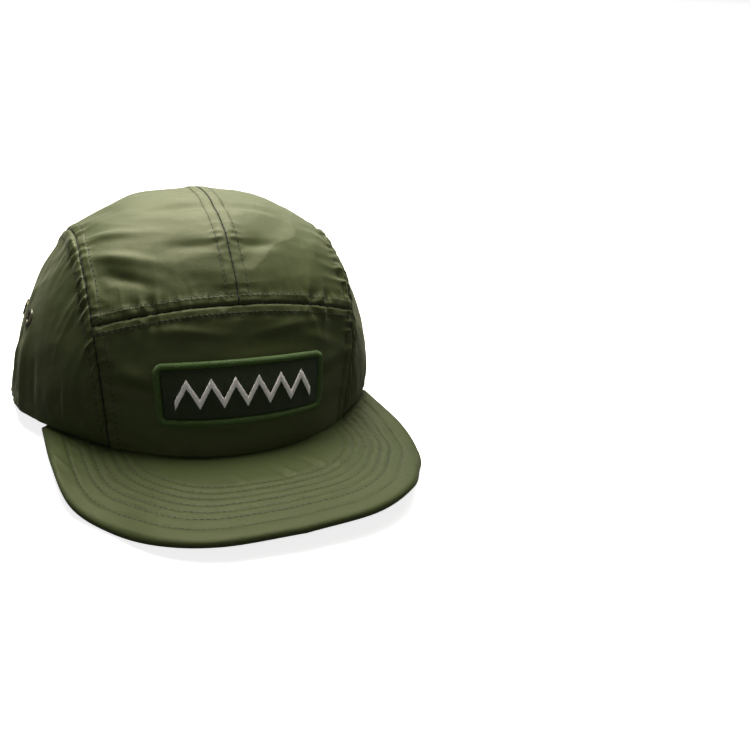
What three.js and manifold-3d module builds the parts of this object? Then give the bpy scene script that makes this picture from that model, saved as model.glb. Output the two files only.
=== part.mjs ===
// A five panel camp cap in millimetres, Z up, resting on its nape hem and its peak.
// The peak points to -Y and the wearer's left hand side is +X.
import * as THREE from 'three';
import Module from 'manifold-3d';
import { mergeVertices } from 'three/addons/utils/BufferGeometryUtils.js';

// Crown sizes
const crown_length = 154;        // front hem to nape hem along the middle
const crown_height = 111;        // top of the crown above the nape hem
const crown_half_width = 99;     // widest place of the side hem
const seam_spread = 68;          // side seam to the middle, at the widest place
const belt_fullness_deg = 39.5;  // how round the front and top panels are, seam to middle
const side_belly = 7;            // how far a side panel swells between seam and hem
const side_tall_limit = 1.2;     // swell of the tallest part over that of a side panel
const side_tall_share = 0.85;    // height of a side panel as a share of crown_height
const front_panel_share = 0.23;  // part of the seam line taken by the front panel
const wall = 1.6;                // thickness of the crown cloth with its seams
const seam_gap = 0.3;            // clearance between two sewn panels
const seat_gap = 0.3;            // clearance under a piece that lies on another

// Rear opening
const opening_half_width = 42.5;
const opening_height = 43;
const opening_squareness = 3;    // 2 is an ellipse, more is squarer
const casing_width = 7.5;        // gathered hem with the elastic inside
const casing_proud = 0.5;        // outside of the casing over the crown cloth
const casing_depth = 2.1;        // inside of the casing under the outer cloth face
const gather_pairs = 5;          // gathers on each half of the arch
const gather_depth = 0.9;
const gather_fade = 0.25;        // how soon the gathers die out at the top and the corners
const gather_reach = 16;         // how far the gathers run up into the top panels

// Peak
const peak_reach = 68;           // front hem to the peak's edge along the middle
const peak_half_width = 90;
const peak_thickness = 3.2;
const peak_lift = 10;            // unit of height for the rows of the peak's edge
const peak_camber = 1.6;
const peak_edge_roll = 1.1;      // how far the top drops to the rolled edge
const peak_side_share = 0.28;    // part of the side hem that the peak is sewn to
const peak_end_proud = 2;
const peak_seat_width = 0.7;     // ledge of the peak outside the crown cloth

// Sweatband
const band_height = 25;
const band_thickness = 1.3;
const band_clearance = 0.4;
const band_drop = 1.4;           // how far the band hangs below a raised hem
const band_floor = 0.4;
const band_levels = [0, 0.25, 0.6, 1];

// Straps and buckle
const webbing_width = 20;
const webbing_thickness = 1.2;
const webbing_clearance = 0.35;
const strap_slack = 18.5;        // buckle centre behind the corners of the opening
const strap_lean_deg = 17;
const strap_lean_start = 0.35;   // share of the lean at the corners of the opening
const strap_tuck = 13;           // length sewn in behind the casing
const strap_exit_in = 4.5;       // where a strap comes out, inwards and back from the corner
const strap_exit_back = 1.5;
const short_bend_in = 15;        // bend of the short strap, inwards from the corner
const short_bend_share = 0.52;   // and back, as a share of the slack
const long_bend_in = 16;
const long_bend_share = 0.62;
const layers_meet = 8;           // where the two layers of a loop meet, past the buckle
const loop_end = 11;             // end of the folded layer, past the buckle
const layer_play = 0.1;          // extra clearance where webbing bends round a bar
const tail_length = 46;          // free end past the buckle's centre, across the cap
const tail_bend_share = 0.68;    // bend of the free end, as a share of its length
const tail_bend_back = 8.3;      // free end behind the buckle's centre, bend and tip
const tail_tip_back = 7;
const buckle_length = 24;
const buckle_thickness = 2.6;
const buckle_bar = 3;
const buckle_centre_bar = 5;
const buckle_rail = 2.5;
const buckle_turn_deg = 20.9;
const buckle_corner = 1.4;
const slot_clearance = 0.9;
const slot_corner = 0.4;
const floor_clearance = 0.5;
const turn_cut = 1.1;            // how far a turn of the webbing is cut across its corner

// Eyelets
const eyelet_radius = 4.6;
const eyelet_hole = 2.3;
const eyelet_barrel = 3;
const eyelet_crown = 0.8;        // height of the rounded flange
const eyelet_back = 3.9;
const eyelet_back_gap = 0.5;
const eyelet_places = [
  { name: 'front', s: 0.5, t: 0.5 },
  { name: 'rear', s: 0.66, t: 0.49 },
];

// Patch on the front panel
const patch_width = 84;
const patch_height = 31;
const patch_rise = 15.3;         // bottom edge over the front hem
const patch_thickness = 1.2;
const border_width = 3.2;
const border_height = 1.9;
const border_corner = 3;
const border_shoulder_out = 0.45; // bevel of the border, shares of its half width and height
const border_shoulder_up = 0.55;
const border_step = 6;           // spacing of the border's sections on a straight side
const motif_width = 66;
const motif_height = 15;
const motif_stroke = 5;
const motif_peaks = 6;
const motif_thickness = 0.7;

// Crown sections from the front hem (first) over the top to the nape hem (last).
// mid is the middle of the cap and seam the side seam. mid_y and seam_y are shares of
// crown_length, mid_z and seam_z of crown_height, seam_x of seam_spread.
const crown_sections = [
  { mid_y: -0.542, mid_z: 0.041, seam_x: 0.904, seam_y: -0.406, seam_z: 0.048 },
  { mid_y: -0.473, mid_z: 0.397, seam_x: 0.956, seam_y: -0.373, seam_z: 0.371 },
  { mid_y: -0.369, mid_z: 0.689, seam_x: 0.978, seam_y: -0.308, seam_z: 0.581 },
  { mid_y: -0.225, mid_z: 0.895, seam_x: 0.985, seam_y: -0.168, seam_z: 0.754 },
  { mid_y: -0.055, mid_z: 0.993, seam_x: 0.985, seam_y: -0.019, seam_z: 0.826 },
  { mid_y: 0.125, mid_z: 0.996, seam_x: 0.985, seam_y: 0.142, seam_z: 0.786 },
  { mid_y: 0.333, mid_z: 0.842, seam_x: 0.97, seam_y: 0.318, seam_z: 0.621 },
  { mid_y: 0.449, mid_z: 0.516, seam_x: 0.935, seam_y: 0.411, seam_z: 0.357 },
  { mid_y: 0.458, mid_z: 0, seam_x: 0.828, seam_y: 0.382, seam_z: 0 },
];

// The two handles of the side hem's curve: x as a share of crown_half_width,
// y of crown_length and z of crown_height.
const hem_handles = [
  { x: 0.955, y: -0.275, z: 0.092 },
  { x: 1.318, y: 0.05, z: 0.076 },
];

// The peak's edge from the middle (first) to its sewn end (last): x as a share of
// peak_half_width, reach of peak_reach in front of the hem's middle, and the height of
// the lower edge on either hand as a share of peak_lift.
const peak_sections = [
  { x: 0, reach: 1, right: 0.63, left: 0.63 },
  { x: 0.382, reach: 0.96, right: 0.5, left: 0.76 },
  { x: 0.64, reach: 0.81, right: 0.3, left: 0.84 },
  { x: 0.811, reach: 0.556, right: 0, left: 0.4 },
  { x: 0.951, reach: 0.291, right: 0.24, left: 0 },
  { x: 1, reach: -0.074, right: 0.82, left: 0.3 },
];

// Soft folds of the cloth, the same on both hands. s runs along the side seam and t from
// the seam down to the hem (side) or from the middle to the seam (belt). turn is the
// fold's direction in degrees from s towards t. run and spread are shares of
// crown_height, depth a share of fold_depth and outward if positive.
const fold_depth = 2;
const folds = [
  { on: 'side', s: 0.45, t: 0.78, turn: 105, run: 0.38, spread: 0.07, depth: 1.1 },
  { on: 'side', s: 0.37, t: 0.8, turn: 112, run: 0.3, spread: 0.05, depth: -0.55 },
  { on: 'side', s: 0.27, t: 0.8, turn: 125, run: 0.3, spread: 0.06, depth: 0.5 },
  { on: 'side', s: 0.62, t: 0.22, turn: 60, run: 0.3, spread: 0.07, depth: 0.55 },
  { on: 'side', s: 0.76, t: 0.6, turn: 80, run: 0.4, spread: 0.09, depth: -0.45 },
  { on: 'belt', s: 0.17, t: 0.8, turn: 40, run: 0.25, spread: 0.06, depth: -0.4 },
  { on: 'belt', s: 0.4, t: 0.45, turn: 20, run: 0.5, spread: 0.12, depth: -0.5 },
  { on: 'belt', s: 0.6, t: 0.5, turn: -15, run: 0.5, spread: 0.12, depth: 0.5 },
  { on: 'belt', s: 0.8, t: 0.55, turn: 25, run: 0.3, spread: 0.08, depth: 0.8 },
];

// How finely the cloth is divided
const front_rows = 8;
const top_rows = 14;
const front_columns = 22;
const arch_columns = 22;
const hem_columns = 5;
const side_rows = 10;
const corner_cut = 0.012;        // part of the seam line left off at a side panel's tips
const peak_columns = 36;
const peak_rows = 6;
const band_columns = 50;
const round_sides = 12;

const degree = Math.PI / 180;
const wasm = await Module();
wasm.setup();

const finishes = {
  cloth: { color: 0x4a5538, roughness: 0.62, metalness: 0 },
  webbing: { color: 0x17171a, roughness: 0.8, metalness: 0 },
  band: { color: 0x101012, roughness: 0.9, metalness: 0 },
  plastic: { color: 0x1d1d20, roughness: 0.35, metalness: 0 },
  metal: { color: 0x55583f, roughness: 0.4, metalness: 0.8 },
  twill: { color: 0x2c3b1c, roughness: 0.85, metalness: 0 },
  border: { color: 0x35531f, roughness: 0.7, metalness: 0 },
  thread: { color: 0xb9b4ad, roughness: 0.6, metalness: 0 },
};

const cap = new THREE.Group();

function add_piece(name, geometry, finish) {
  const piece = new THREE.Mesh(geometry, new THREE.MeshStandardMaterial(finishes[finish]));
  piece.name = name;
  cap.add(piece);
  return piece;
}

// A value of a table's column at a share of its length, on a Catmull-Rom curve
function along_rows(rows, column, share) {
  const last = rows.length - 1;
  const place = THREE.MathUtils.clamp(share, 0, 1) * last;
  const i = Math.min(Math.floor(place), last - 1);
  const f = place - i;
  const b = rows[i][column];
  const c = rows[i + 1][column];
  const a = i > 0 ? rows[i - 1][column] : 2 * b - c;
  const d = i + 2 <= last ? rows[i + 2][column] : 2 * c - b;
  const bend = 2 * a - 5 * b + 4 * c - d;
  return 0.5 * (2 * b + (c - a) * f + bend * f * f + (3 * b - a - 3 * c + d) * f * f * f);
}

function middle_line(s) {
  const y = along_rows(crown_sections, 'mid_y', s) * crown_length;
  return new THREE.Vector3(0, y, along_rows(crown_sections, 'mid_z', s) * crown_height);
}

function seam_line(s) {
  return new THREE.Vector3(
    along_rows(crown_sections, 'seam_x', s) * seam_spread,
    along_rows(crown_sections, 'seam_y', s) * crown_length,
    along_rows(crown_sections, 'seam_z', s) * crown_height,
  );
}

function hem_handle({ x, y, z }) {
  return new THREE.Vector3(x * crown_half_width, y * crown_length, z * crown_height);
}

const side_hem = new THREE.CubicBezierCurve3(
  seam_line(0), hem_handle(hem_handles[0]), hem_handle(hem_handles[1]), seam_line(1),
);

// The front and top panels without folds: s from front to nape, u from seam to seam
function belt(s, u) {
  const mid = middle_line(s);
  const seam = seam_line(s);
  const full = belt_fullness_deg * degree;
  const drop = (1 - Math.cos(full * u)) / (1 - Math.cos(full));
  const point = mid.lerp(seam, drop);
  point.x = seam.x * Math.sin(full * u) / Math.sin(full);
  return point;
}

// A side panel without folds on the +X hand: t from the seam down to the hem
function side(s, t) {
  const seam = seam_line(s);
  const hem = side_hem.getPoint(s);
  const tall = Math.min(
    seam.distanceTo(hem) / (side_tall_share * crown_height), side_tall_limit,
  );
  const swell = side_belly * Math.sin(Math.PI * t) * tall;
  return seam.lerp(hem, t).add(new THREE.Vector3(swell, 0, 0.3 * swell));
}

const crown_middle_y = (middle_line(0).y + middle_line(1).y) / 2;

// The direction in which the cloth has its thickness, the same for all panels
function outward(point) {
  return new THREE.Vector3(
    point.x / crown_half_width ** 2,
    4 * (point.y - crown_middle_y) / crown_length ** 2,
    Math.max(point.z, 0) / crown_height ** 2,
  ).normalize();
}

// Lengths in millimetres for one unit of s and of u
const s_run = new THREE.CatmullRomCurve3(
  Array.from({ length: 25 }, (_, i) => middle_line(i / 24)), false, 'catmullrom',
).getLength();
const front_step = 1 / (crown_sections.length - 1);
const nape_step = 0.1;
const front_s_run = middle_line(0).distanceTo(middle_line(front_step)) / front_step;
const nape_s_run = middle_line(1 - nape_step).distanceTo(middle_line(1)) / nape_step;

function half_belt_length(s) {
  const steps = 24;
  let length = 0;
  for (let i = 0; i < steps; i++) {
    length += belt(s, i / steps).distanceTo(belt(s, (i + 1) / steps));
  }
  return length;
}

const front_u_run = half_belt_length(0.1);
const nape_u_run = half_belt_length(1);

function fold_relief(on, s, t) {
  let relief = 0;
  const t_run = on === 'side' ? side_tall_share * crown_height : front_u_run;
  for (const fold of folds) {
    if (fold.on !== on) continue;
    const turn = fold.turn * degree;
    const ds = (s - fold.s) * s_run / crown_height;
    const dt = (t - fold.t) * t_run / crown_height;
    const lengthwise = (ds * Math.cos(turn) + dt * Math.sin(turn)) / (0.5 * fold.run);
    const across = (dt * Math.cos(turn) - ds * Math.sin(turn)) / fold.spread;
    relief += fold_depth * fold.depth * Math.exp(-(lengthwise ** 2) - across ** 2);
  }
  // No relief on the seams, where the cloth is held
  const held = Math.sin(Math.PI * THREE.MathUtils.clamp(s, 0, 1)) * (on === 'side' ? t : 1 - t);
  return relief * Math.min(1, 5 * held);
}

// The arch of the rear opening, or of its casing's outer edge, on the crown cloth
function arch_place(turn, half_width, height) {
  const across = Math.abs(Math.sin(turn));
  const up = Math.abs(Math.cos(turn));
  const n = opening_squareness;
  const r = (across ** n + up ** n) ** (-1 / n);
  return { s: 1 - height / nape_s_run * up * r, u: half_width / nape_u_run * across * r };
}

function gather_wave(turn) {
  return gather_depth * Math.cos(2 * gather_pairs * 2 * turn);
}

function raise(point, height) {
  return point.clone().addScaledVector(outward(point), height);
}

// A closed solid from two grids of points, grid[column][row]
function solid_between(outer, inner) {
  const columns = outer.length - 1;
  const rows = outer[0].length - 1;
  const positions = [];
  for (const grid of [outer, inner]) {
    for (const line of grid) for (const point of line) positions.push(point.x, point.y, point.z);
  }
  const half = (columns + 1) * (rows + 1);
  const at = (layer, i, j) => layer * half + i * (rows + 1) + j;
  const faces = [];
  const quad = (a, b, c, d) => faces.push(a, b, c, a, c, d);
  for (let i = 0; i < columns; i++) {
    for (let j = 0; j < rows; j++) {
      quad(at(0, i, j), at(0, i + 1, j), at(0, i + 1, j + 1), at(0, i, j + 1));
      quad(at(1, i, j), at(1, i, j + 1), at(1, i + 1, j + 1), at(1, i + 1, j));
    }
    quad(at(0, i, 0), at(1, i, 0), at(1, i + 1, 0), at(0, i + 1, 0));
    quad(at(0, i, rows), at(0, i + 1, rows), at(1, i + 1, rows), at(1, i, rows));
  }
  for (let j = 0; j < rows; j++) {
    quad(at(0, 0, j), at(0, 0, j + 1), at(1, 0, j + 1), at(1, 0, j));
    quad(at(0, columns, j), at(1, columns, j), at(1, columns, j + 1), at(0, columns, j + 1));
  }
  return facing_out(positions, faces);
}

// A closed solid from rings of points round a path; closed rings join end to start
function solid_round(rings, is_loop) {
  const sides = rings[0].length;
  const positions = rings.flat().flatMap((point) => [point.x, point.y, point.z]);
  const faces = [];
  const steps = is_loop ? rings.length : rings.length - 1;
  for (let i = 0; i < steps; i++) {
    const next = (i + 1) % rings.length;
    for (let j = 0; j < sides; j++) {
      const k = (j + 1) % sides;
      const [a, b, c, d] = [i * sides + j, next * sides + j, next * sides + k, i * sides + k];
      faces.push(a, b, c, a, c, d);
    }
  }
  if (!is_loop) {
    const end = (rings.length - 1) * sides;
    for (let j = 1; j < sides - 1; j++) faces.push(0, j, j + 1, end, end + j + 1, end + j);
  }
  return facing_out(positions, faces);
}

// Turns all faces round if the volume comes out negative
function facing_out(positions, faces) {
  const corner = (k) => new THREE.Vector3().fromArray(positions, 3 * faces[k]);
  let volume = 0;
  for (let i = 0; i < faces.length; i += 3) {
    volume += corner(i).dot(corner(i + 1).cross(corner(i + 2)));
  }
  if (volume < 0) {
    for (let i = 0; i < faces.length; i += 3) {
      [faces[i + 1], faces[i + 2]] = [faces[i + 2], faces[i + 1]];
    }
  }
  const geometry = new THREE.BufferGeometry();
  geometry.setAttribute('position', new THREE.Float32BufferAttribute(positions, 3));
  geometry.setIndex(faces);
  geometry.computeVertexNormals();
  return geometry;
}

// Draws the four borders of a grid in towards its middle by half of the seam gap
function inset_borders(grid) {
  const columns = grid.length - 1;
  const rows = grid[0].length - 1;
  const pull = (point, towards) => {
    const step = towards.clone().sub(point).setLength(seam_gap / 2);
    point.add(step);
  };
  for (let i = 0; i <= columns; i++) {
    pull(grid[i][0], grid[i][1]);
    pull(grid[i][rows], grid[i][rows - 1]);
  }
  for (let j = 0; j <= rows; j++) {
    pull(grid[0][j], grid[1][j]);
    pull(grid[columns][j], grid[columns - 1][j]);
  }
  return grid;
}

function grid_of(columns, rows, place) {
  return Array.from({ length: columns + 1 }, (_, i) => (
    Array.from({ length: rows + 1 }, (_, j) => place(i, j))
  ));
}

function mirrored(grid, hand) {
  for (const line of grid) for (const point of line) point.x *= hand;
  return grid;
}

function cloth_solid(grid, depth = wall) {
  const inner = grid.map((line) => line.map((point) => raise(point, -depth)));
  return solid_between(grid, inner);
}

function folded_belt(s, u) {
  return raise(belt(s, u), fold_relief('belt', s, Math.abs(u)));
}

function folded_side(s, t) {
  return raise(side(s, t), fold_relief('side', s, t));
}

const hands = [{ name: 'left', hand: 1 }, { name: 'right', hand: -1 }];

// Places along the side seam that the panels on both sides of it share
const front_stations = Array.from(
  { length: front_rows + 1 }, (_, j) => front_panel_share * j / front_rows,
);
const top_stations = Array.from(
  { length: top_rows + 1 },
  (_, j) => THREE.MathUtils.lerp(front_panel_share, 1, j / top_rows),
);

function make_front_panel() {
  const grid = grid_of(front_columns, front_rows, (i, j) => (
    folded_belt(front_stations[j], 2 * i / front_columns - 1)
  ));
  add_piece('front_panel', cloth_solid(inset_borders(grid)), 'cloth');
}

// A top panel's lower border runs round the casing and then along the nape hem
function top_panel_end(i) {
  if (i <= arch_columns) {
    const turn = i / arch_columns * Math.PI / 2;
    const place = arch_place(turn, opening_half_width + casing_width,
      opening_height + casing_width);
    return { ...place, turn };
  }
  const start = (opening_half_width + casing_width) / nape_u_run;
  return { s: 1, u: THREE.MathUtils.lerp(start, 1, (i - arch_columns) / hem_columns), turn: null };
}

function top_panel_point(i, j) {
  const end = top_panel_end(i);
  const share = j / top_rows;
  const start_u = i / (arch_columns + hem_columns);
  const s = THREE.MathUtils.lerp(front_panel_share, end.s, share);
  const u = THREE.MathUtils.lerp(start_u, end.u, share);
  const point = folded_belt(s, u);
  if (end.turn === null) return point;
  const away = (end.s - s) * nape_s_run / gather_reach;
  const still = Math.sin(2 * end.turn) ** gather_fade || 0;
  return raise(point, gather_wave(end.turn) * still * Math.exp(-away * away));
}

function make_top_panels() {
  for (const { name, hand } of hands) {
    const grid = grid_of(arch_columns + hem_columns, top_rows, top_panel_point);
    add_piece(`top_panel_${name}`, cloth_solid(inset_borders(mirrored(grid, hand))), 'cloth');
  }
}

function make_casing() {
  const columns = 2 * arch_columns;
  const across = [
    { share: 0, proud: 0 },
    { share: 0.5, proud: 1 },
    { share: 1, proud: 0.5 },
  ];
  const grid = grid_of(columns, across.length - 1, (i, j) => {
    const turn = (i / columns - 0.5) * Math.PI;
    const { share, proud } = across[j];
    const width = casing_width * (1 - share);
    const place = arch_place(turn, opening_half_width + width, opening_height + width);
    const point = belt(place.s, place.u * Math.sign(turn));
    const still = Math.abs(Math.sin(2 * turn)) ** gather_fade;
    return raise(point, gather_wave(Math.abs(turn)) * still + casing_proud * proud);
  });
  inset_borders(grid);
  add_piece('rear_casing', cloth_solid(grid, casing_depth), 'cloth');
}

// The normal of a side panel, from three points close together
function side_normal(s, t) {
  const step = 0.01;
  const point = folded_side(s, t);
  const along = folded_side(s + step, t).sub(point);
  const down = folded_side(s, t + step).sub(point);
  const normal = along.cross(down).normalize();
  return normal.x < 0 ? normal.negate() : normal;
}

function to_manifold(geometry) {
  const bare = geometry.clone();
  bare.deleteAttribute('normal');
  bare.deleteAttribute('uv');
  const merged = mergeVertices(bare, 1e-4);
  return new wasm.Manifold(new wasm.Mesh({
    numProp: 3,
    vertProperties: new Float32Array(merged.attributes.position.array),
    triVerts: new Uint32Array(merged.index.array),
  }));
}

function from_manifold(solid) {
  const mesh = solid.getMesh();
  const geometry = new THREE.BufferGeometry();
  geometry.setAttribute('position', new THREE.BufferAttribute(mesh.vertProperties, 3));
  geometry.setIndex(new THREE.BufferAttribute(mesh.triVerts, 1));
  return geometry;
}

// The frame of an eyelet: its origin on the cloth and Y along the cloth's normal
function eyelet_frame(place, hand) {
  const origin = folded_side(place.s, place.t);
  const normal = side_normal(place.s, place.t);
  origin.x *= hand;
  normal.x *= hand;
  const turn = new THREE.Quaternion().setFromUnitVectors(new THREE.Vector3(0, 1, 0), normal);
  return new THREE.Matrix4().compose(origin, turn, new THREE.Vector3(1, 1, 1));
}

function make_side_panels() {
  const stations = [...front_stations, ...top_stations.slice(1)];
  stations[0] = corner_cut;
  stations[stations.length - 1] = 1 - corner_cut;
  for (const { name, hand } of hands) {
    const grid = grid_of(stations.length - 1, side_rows, (i, j) => (
      folded_side(stations[i], j / side_rows)
    ));
    let solid = to_manifold(cloth_solid(inset_borders(mirrored(grid, hand))));
    for (const place of eyelet_places) {
      const hole = new THREE.CylinderGeometry(
        eyelet_barrel + seat_gap, eyelet_barrel + seat_gap, 8 * wall, round_sides,
      );
      hole.applyMatrix4(eyelet_frame(place, hand));
      solid = solid.subtract(to_manifold(hole));
    }
    add_piece(`side_panel_${name}`, from_manifold(solid), 'cloth');
  }
}

function make_eyelets() {
  const back = -wall - eyelet_back_gap;
  const profile = [
    [eyelet_hole, seat_gap + 0.5 * eyelet_crown],
    [eyelet_hole, back - 0.5],
    [eyelet_back, back - 0.5],
    [eyelet_back, back],
    [eyelet_barrel, back],
    [eyelet_barrel, seat_gap],
    [eyelet_radius, seat_gap],
    [0.5 * (eyelet_radius + eyelet_barrel), seat_gap + eyelet_crown],
    [eyelet_hole, seat_gap + 0.5 * eyelet_crown],
  ].map(([r, y]) => new THREE.Vector2(r, y));
  for (const { name, hand } of hands) {
    for (const place of eyelet_places) {
      const piece = add_piece(
        `eyelet_${place.name}_${name}`, new THREE.LatheGeometry(profile, round_sides), 'metal',
      );
      const frame = eyelet_frame(place, hand);
      frame.decompose(piece.position, piece.quaternion, piece.scale);
    }
  }
}

// The hem over the peak: share 0 is the middle of the front and 1 the peak's sewn end
const front_hem_length = half_belt_length(0);
const sewn_side_length = side_hem.getPoint(0).distanceTo(side_hem.getPoint(peak_side_share));
const front_hem_part = front_hem_length / (front_hem_length + sewn_side_length);

function hem_over_peak(share) {
  if (share <= front_hem_part) return belt(0, share / front_hem_part);
  const s = (share - front_hem_part) / (1 - front_hem_part) * peak_side_share;
  return side_hem.getPoint(s);
}

function peak_edge(share, hand_name) {
  const end = hem_over_peak(1);
  const front_y = middle_line(0).y;
  const rows = peak_sections.map((row) => ({
    x: row.x * peak_half_width,
    y: front_y - row.reach * peak_reach,
    z: row[hand_name] * peak_lift,
  }));
  rows.push({ x: end.x + peak_end_proud, y: end.y, z: end.z - seat_gap - peak_thickness });
  const [x, y, z] = ['x', 'y', 'z'].map((column) => along_rows(rows, column, share));
  return new THREE.Vector3(x, y, Math.max(z, 0));
}

function peak_line(share, hand_name) {
  const hem = hem_over_peak(share);
  const flat_out = outward(hem).setZ(0).normalize();
  const top = hem.clone().setZ(hem.z - seat_gap);
  const inside = top.clone().addScaledVector(flat_out, -wall);
  const seat = top.clone().addScaledVector(flat_out, peak_seat_width);
  const edge = peak_edge(share, hand_name);
  edge.z += peak_thickness;
  const points = [inside, seat];
  for (let j = 1; j <= peak_rows; j++) {
    const v = j / peak_rows;
    const point = seat.clone().lerp(edge, v);
    const wide = Math.min(1, seat.distanceTo(edge) / peak_reach);
    point.z += peak_camber * wide * Math.sin(Math.PI * v);
    if (j === peak_rows) point.z -= peak_edge_roll;
    points.push(point);
  }
  return points;
}

function make_peak() {
  const top = [];
  for (let i = 0; i <= peak_columns; i++) {
    const across = 2 * i / peak_columns - 1;
    const line = peak_line(Math.abs(across), across < 0 ? 'right' : 'left');
    for (const point of line) point.x *= Math.sign(across) || 1;
    top.push(line);
  }
  const bottom = top.map((line) => line.map((point, j) => {
    const thin = j === line.length - 1 ? peak_thickness - peak_edge_roll : peak_thickness;
    return point.clone().setZ(point.z - thin);
  }));
  add_piece('peak', solid_between(top, bottom), 'cloth');
}

// Distance from the crown's axis to the inside of the cloth at a height
const probe = new THREE.Raycaster();
const probe_turns = [[0, 0], [1.7, 0], [-1.7, 0], [3.4, 0], [-3.4, 0], [0, 2], [0, -0.5]];

// (the shortest one a little to either hand, so that folds stay clear too)
function reach_inside(direction, height) {
  const walls = cap.children.filter((piece) => /panel|casing/.test(piece.name));
  let reach = crown_length;
  for (const [turn_deg, rise] of probe_turns) {
    const way = direction.clone().applyAxisAngle(
      new THREE.Vector3(0, 0, 1), turn_deg * degree,
    );
    probe.set(new THREE.Vector3(0, crown_middle_y, height + rise), way);
    const hit = probe.intersectObjects(walls)[0];
    if (hit) reach = Math.min(reach, hit.distance);
  }
  return reach;
}

// The front hem (share 0 is its middle), the side hem and the nape hem up to the strap
function band_path(share) {
  const start_u = (opening_half_width + strap_tuck + 1) / nape_u_run;
  const lengths = [front_hem_length, side_hem.getLength(), (1 - start_u) * nape_u_run];
  let rest = share * (lengths[0] + lengths[1] + lengths[2]);
  if (rest <= lengths[0]) return belt(0, rest / lengths[0]);
  rest -= lengths[0];
  if (rest <= lengths[1]) return side_hem.getPoint(rest / lengths[1]);
  rest -= lengths[1];
  return belt(1, THREE.MathUtils.lerp(1, start_u, rest / lengths[2]));
}

function make_sweatband() {
  const outer = [];
  for (let i = 0; i <= band_columns; i++) {
    const across = 2 * i / band_columns - 1;
    const hem = band_path(Math.abs(across));
    hem.x *= Math.sign(across) || 1;
    const way = new THREE.Vector3(hem.x, hem.y - crown_middle_y, 0).normalize();
    const foot = Math.max(hem.z - band_drop, band_floor);
    const line = band_levels.map((share) => {
      const z = foot + share * band_height;
      const reach = reach_inside(way, Math.max(z, hem.z + 1)) - band_clearance;
      return new THREE.Vector3(way.x * reach, crown_middle_y + way.y * reach, z);
    });
    outer.push(line);
  }
  const inner = outer.map((line) => line.map((point) => {
    const flat = outward(point).setZ(0).normalize();
    return point.clone().addScaledVector(flat, -band_thickness);
  }));
  add_piece('sweatband', solid_between(outer, inner), 'band');
}

// The buckle stands behind the opening: a runs along the strap towards -X and b outward
const opening_corner = belt(1, opening_half_width / nape_u_run);
const buckle_turn = buckle_turn_deg * degree;
const buckle_centre = new THREE.Vector2(2, opening_corner.y + strap_slack);
const strap_way = new THREE.Vector2(-Math.cos(buckle_turn), Math.sin(buckle_turn));
const strap_out = new THREE.Vector2(Math.sin(buckle_turn), Math.cos(buckle_turn));

function at_buckle(a, b) {
  return buckle_centre.clone().addScaledVector(strap_way, a).addScaledVector(strap_out, b);
}

// 1 at the buckle and 0 at the corners of the opening
function near_buckle(x) {
  const free = buckle_length / 2 + 4;
  return 1 - THREE.MathUtils.smoothstep(Math.abs(x - buckle_centre.x), free, opening_half_width);
}

function strap_base(x) {
  const raised = buckle_rail + slot_clearance;
  return floor_clearance + raised * near_buckle(x);
}

function strap_up(x) {
  const lean = strap_lean_deg * degree * THREE.MathUtils.lerp(strap_lean_start, 1, near_buckle(x));
  return new THREE.Vector3(
    strap_out.x * Math.sin(lean), strap_out.y * Math.sin(lean), Math.cos(lean),
  );
}

function make_strap(name, plan) {
  const route = new THREE.CatmullRomCurve3(
    plan.map((point) => new THREE.Vector3(point.x, point.y, 0)), false, 'centripetal',
  );
  const steps = 3 * (plan.length - 1);
  const rings = [];
  for (let i = 0; i <= steps; i++) {
    const point = route.getPoint(i / steps);
    const way = route.getTangent(i / steps);
    const normal = new THREE.Vector3(-way.y, way.x, 0).multiplyScalar(webbing_thickness / 2);
    const up = strap_up(point.x).multiplyScalar(webbing_width);
    const base = point.clone().setZ(strap_base(point.x));
    rings.push([
      base.clone().add(normal),
      base.clone().sub(normal),
      base.clone().sub(normal).add(up),
      base.clone().add(normal).add(up),
    ]);
  }
  add_piece(name, solid_round(rings, false), 'webbing');
}

// Inside of the casing and the nape hem, where a strap's end is sewn in
function tucked(distance, hand) {
  const point = belt(1, (opening_half_width + distance) / nape_u_run);
  const flat = outward(point).setZ(0).normalize();
  const depth = casing_depth + gather_depth + webbing_clearance + webbing_thickness / 2;
  point.addScaledVector(flat, -depth);
  return new THREE.Vector2(point.x * hand, point.y);
}

// A place inwards and back from a corner of the opening
function off_corner(inwards, back, hand) {
  return new THREE.Vector2(hand * (opening_corner.x - inwards), opening_corner.y + back);
}

const over_bar =
  buckle_thickness / 2 + webbing_clearance + webbing_thickness / 2 + layer_play;
const round_bar = webbing_clearance + webbing_thickness / 2 + 2 * layer_play;
const bar_half = buckle_length / 2;
const centre_half = buckle_centre_bar / 2;

// The short strap comes out of the left corner and is looped round the buckle's first bar
function make_short_strap() {
  const loop_a = -bar_half + buckle_bar + round_bar;
  const thin = webbing_thickness / 2 + 2.5 * layer_play;
  const plan = [
    tucked(strap_tuck, 1),
    tucked(0.5 * strap_tuck, 1),
    tucked(0, 1).add(new THREE.Vector2(-seat_gap, 0)),
    off_corner(strap_exit_in, strap_exit_back, 1),
    off_corner(short_bend_in, short_bend_share * strap_slack, 1),
    at_buckle(-bar_half - layers_meet, thin),
    at_buckle(-bar_half, over_bar),
    at_buckle(loop_a - turn_cut, over_bar),
    at_buckle(loop_a, over_bar - turn_cut),
    at_buckle(loop_a, -over_bar + turn_cut),
    at_buckle(loop_a - turn_cut, -over_bar),
    at_buckle(-bar_half, -over_bar),
    at_buckle(-bar_half - layers_meet, -thin),
    at_buckle(-bar_half - loop_end, -thin - 2 * layer_play),
  ];
  make_strap('strap_short', plan);
}

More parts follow.
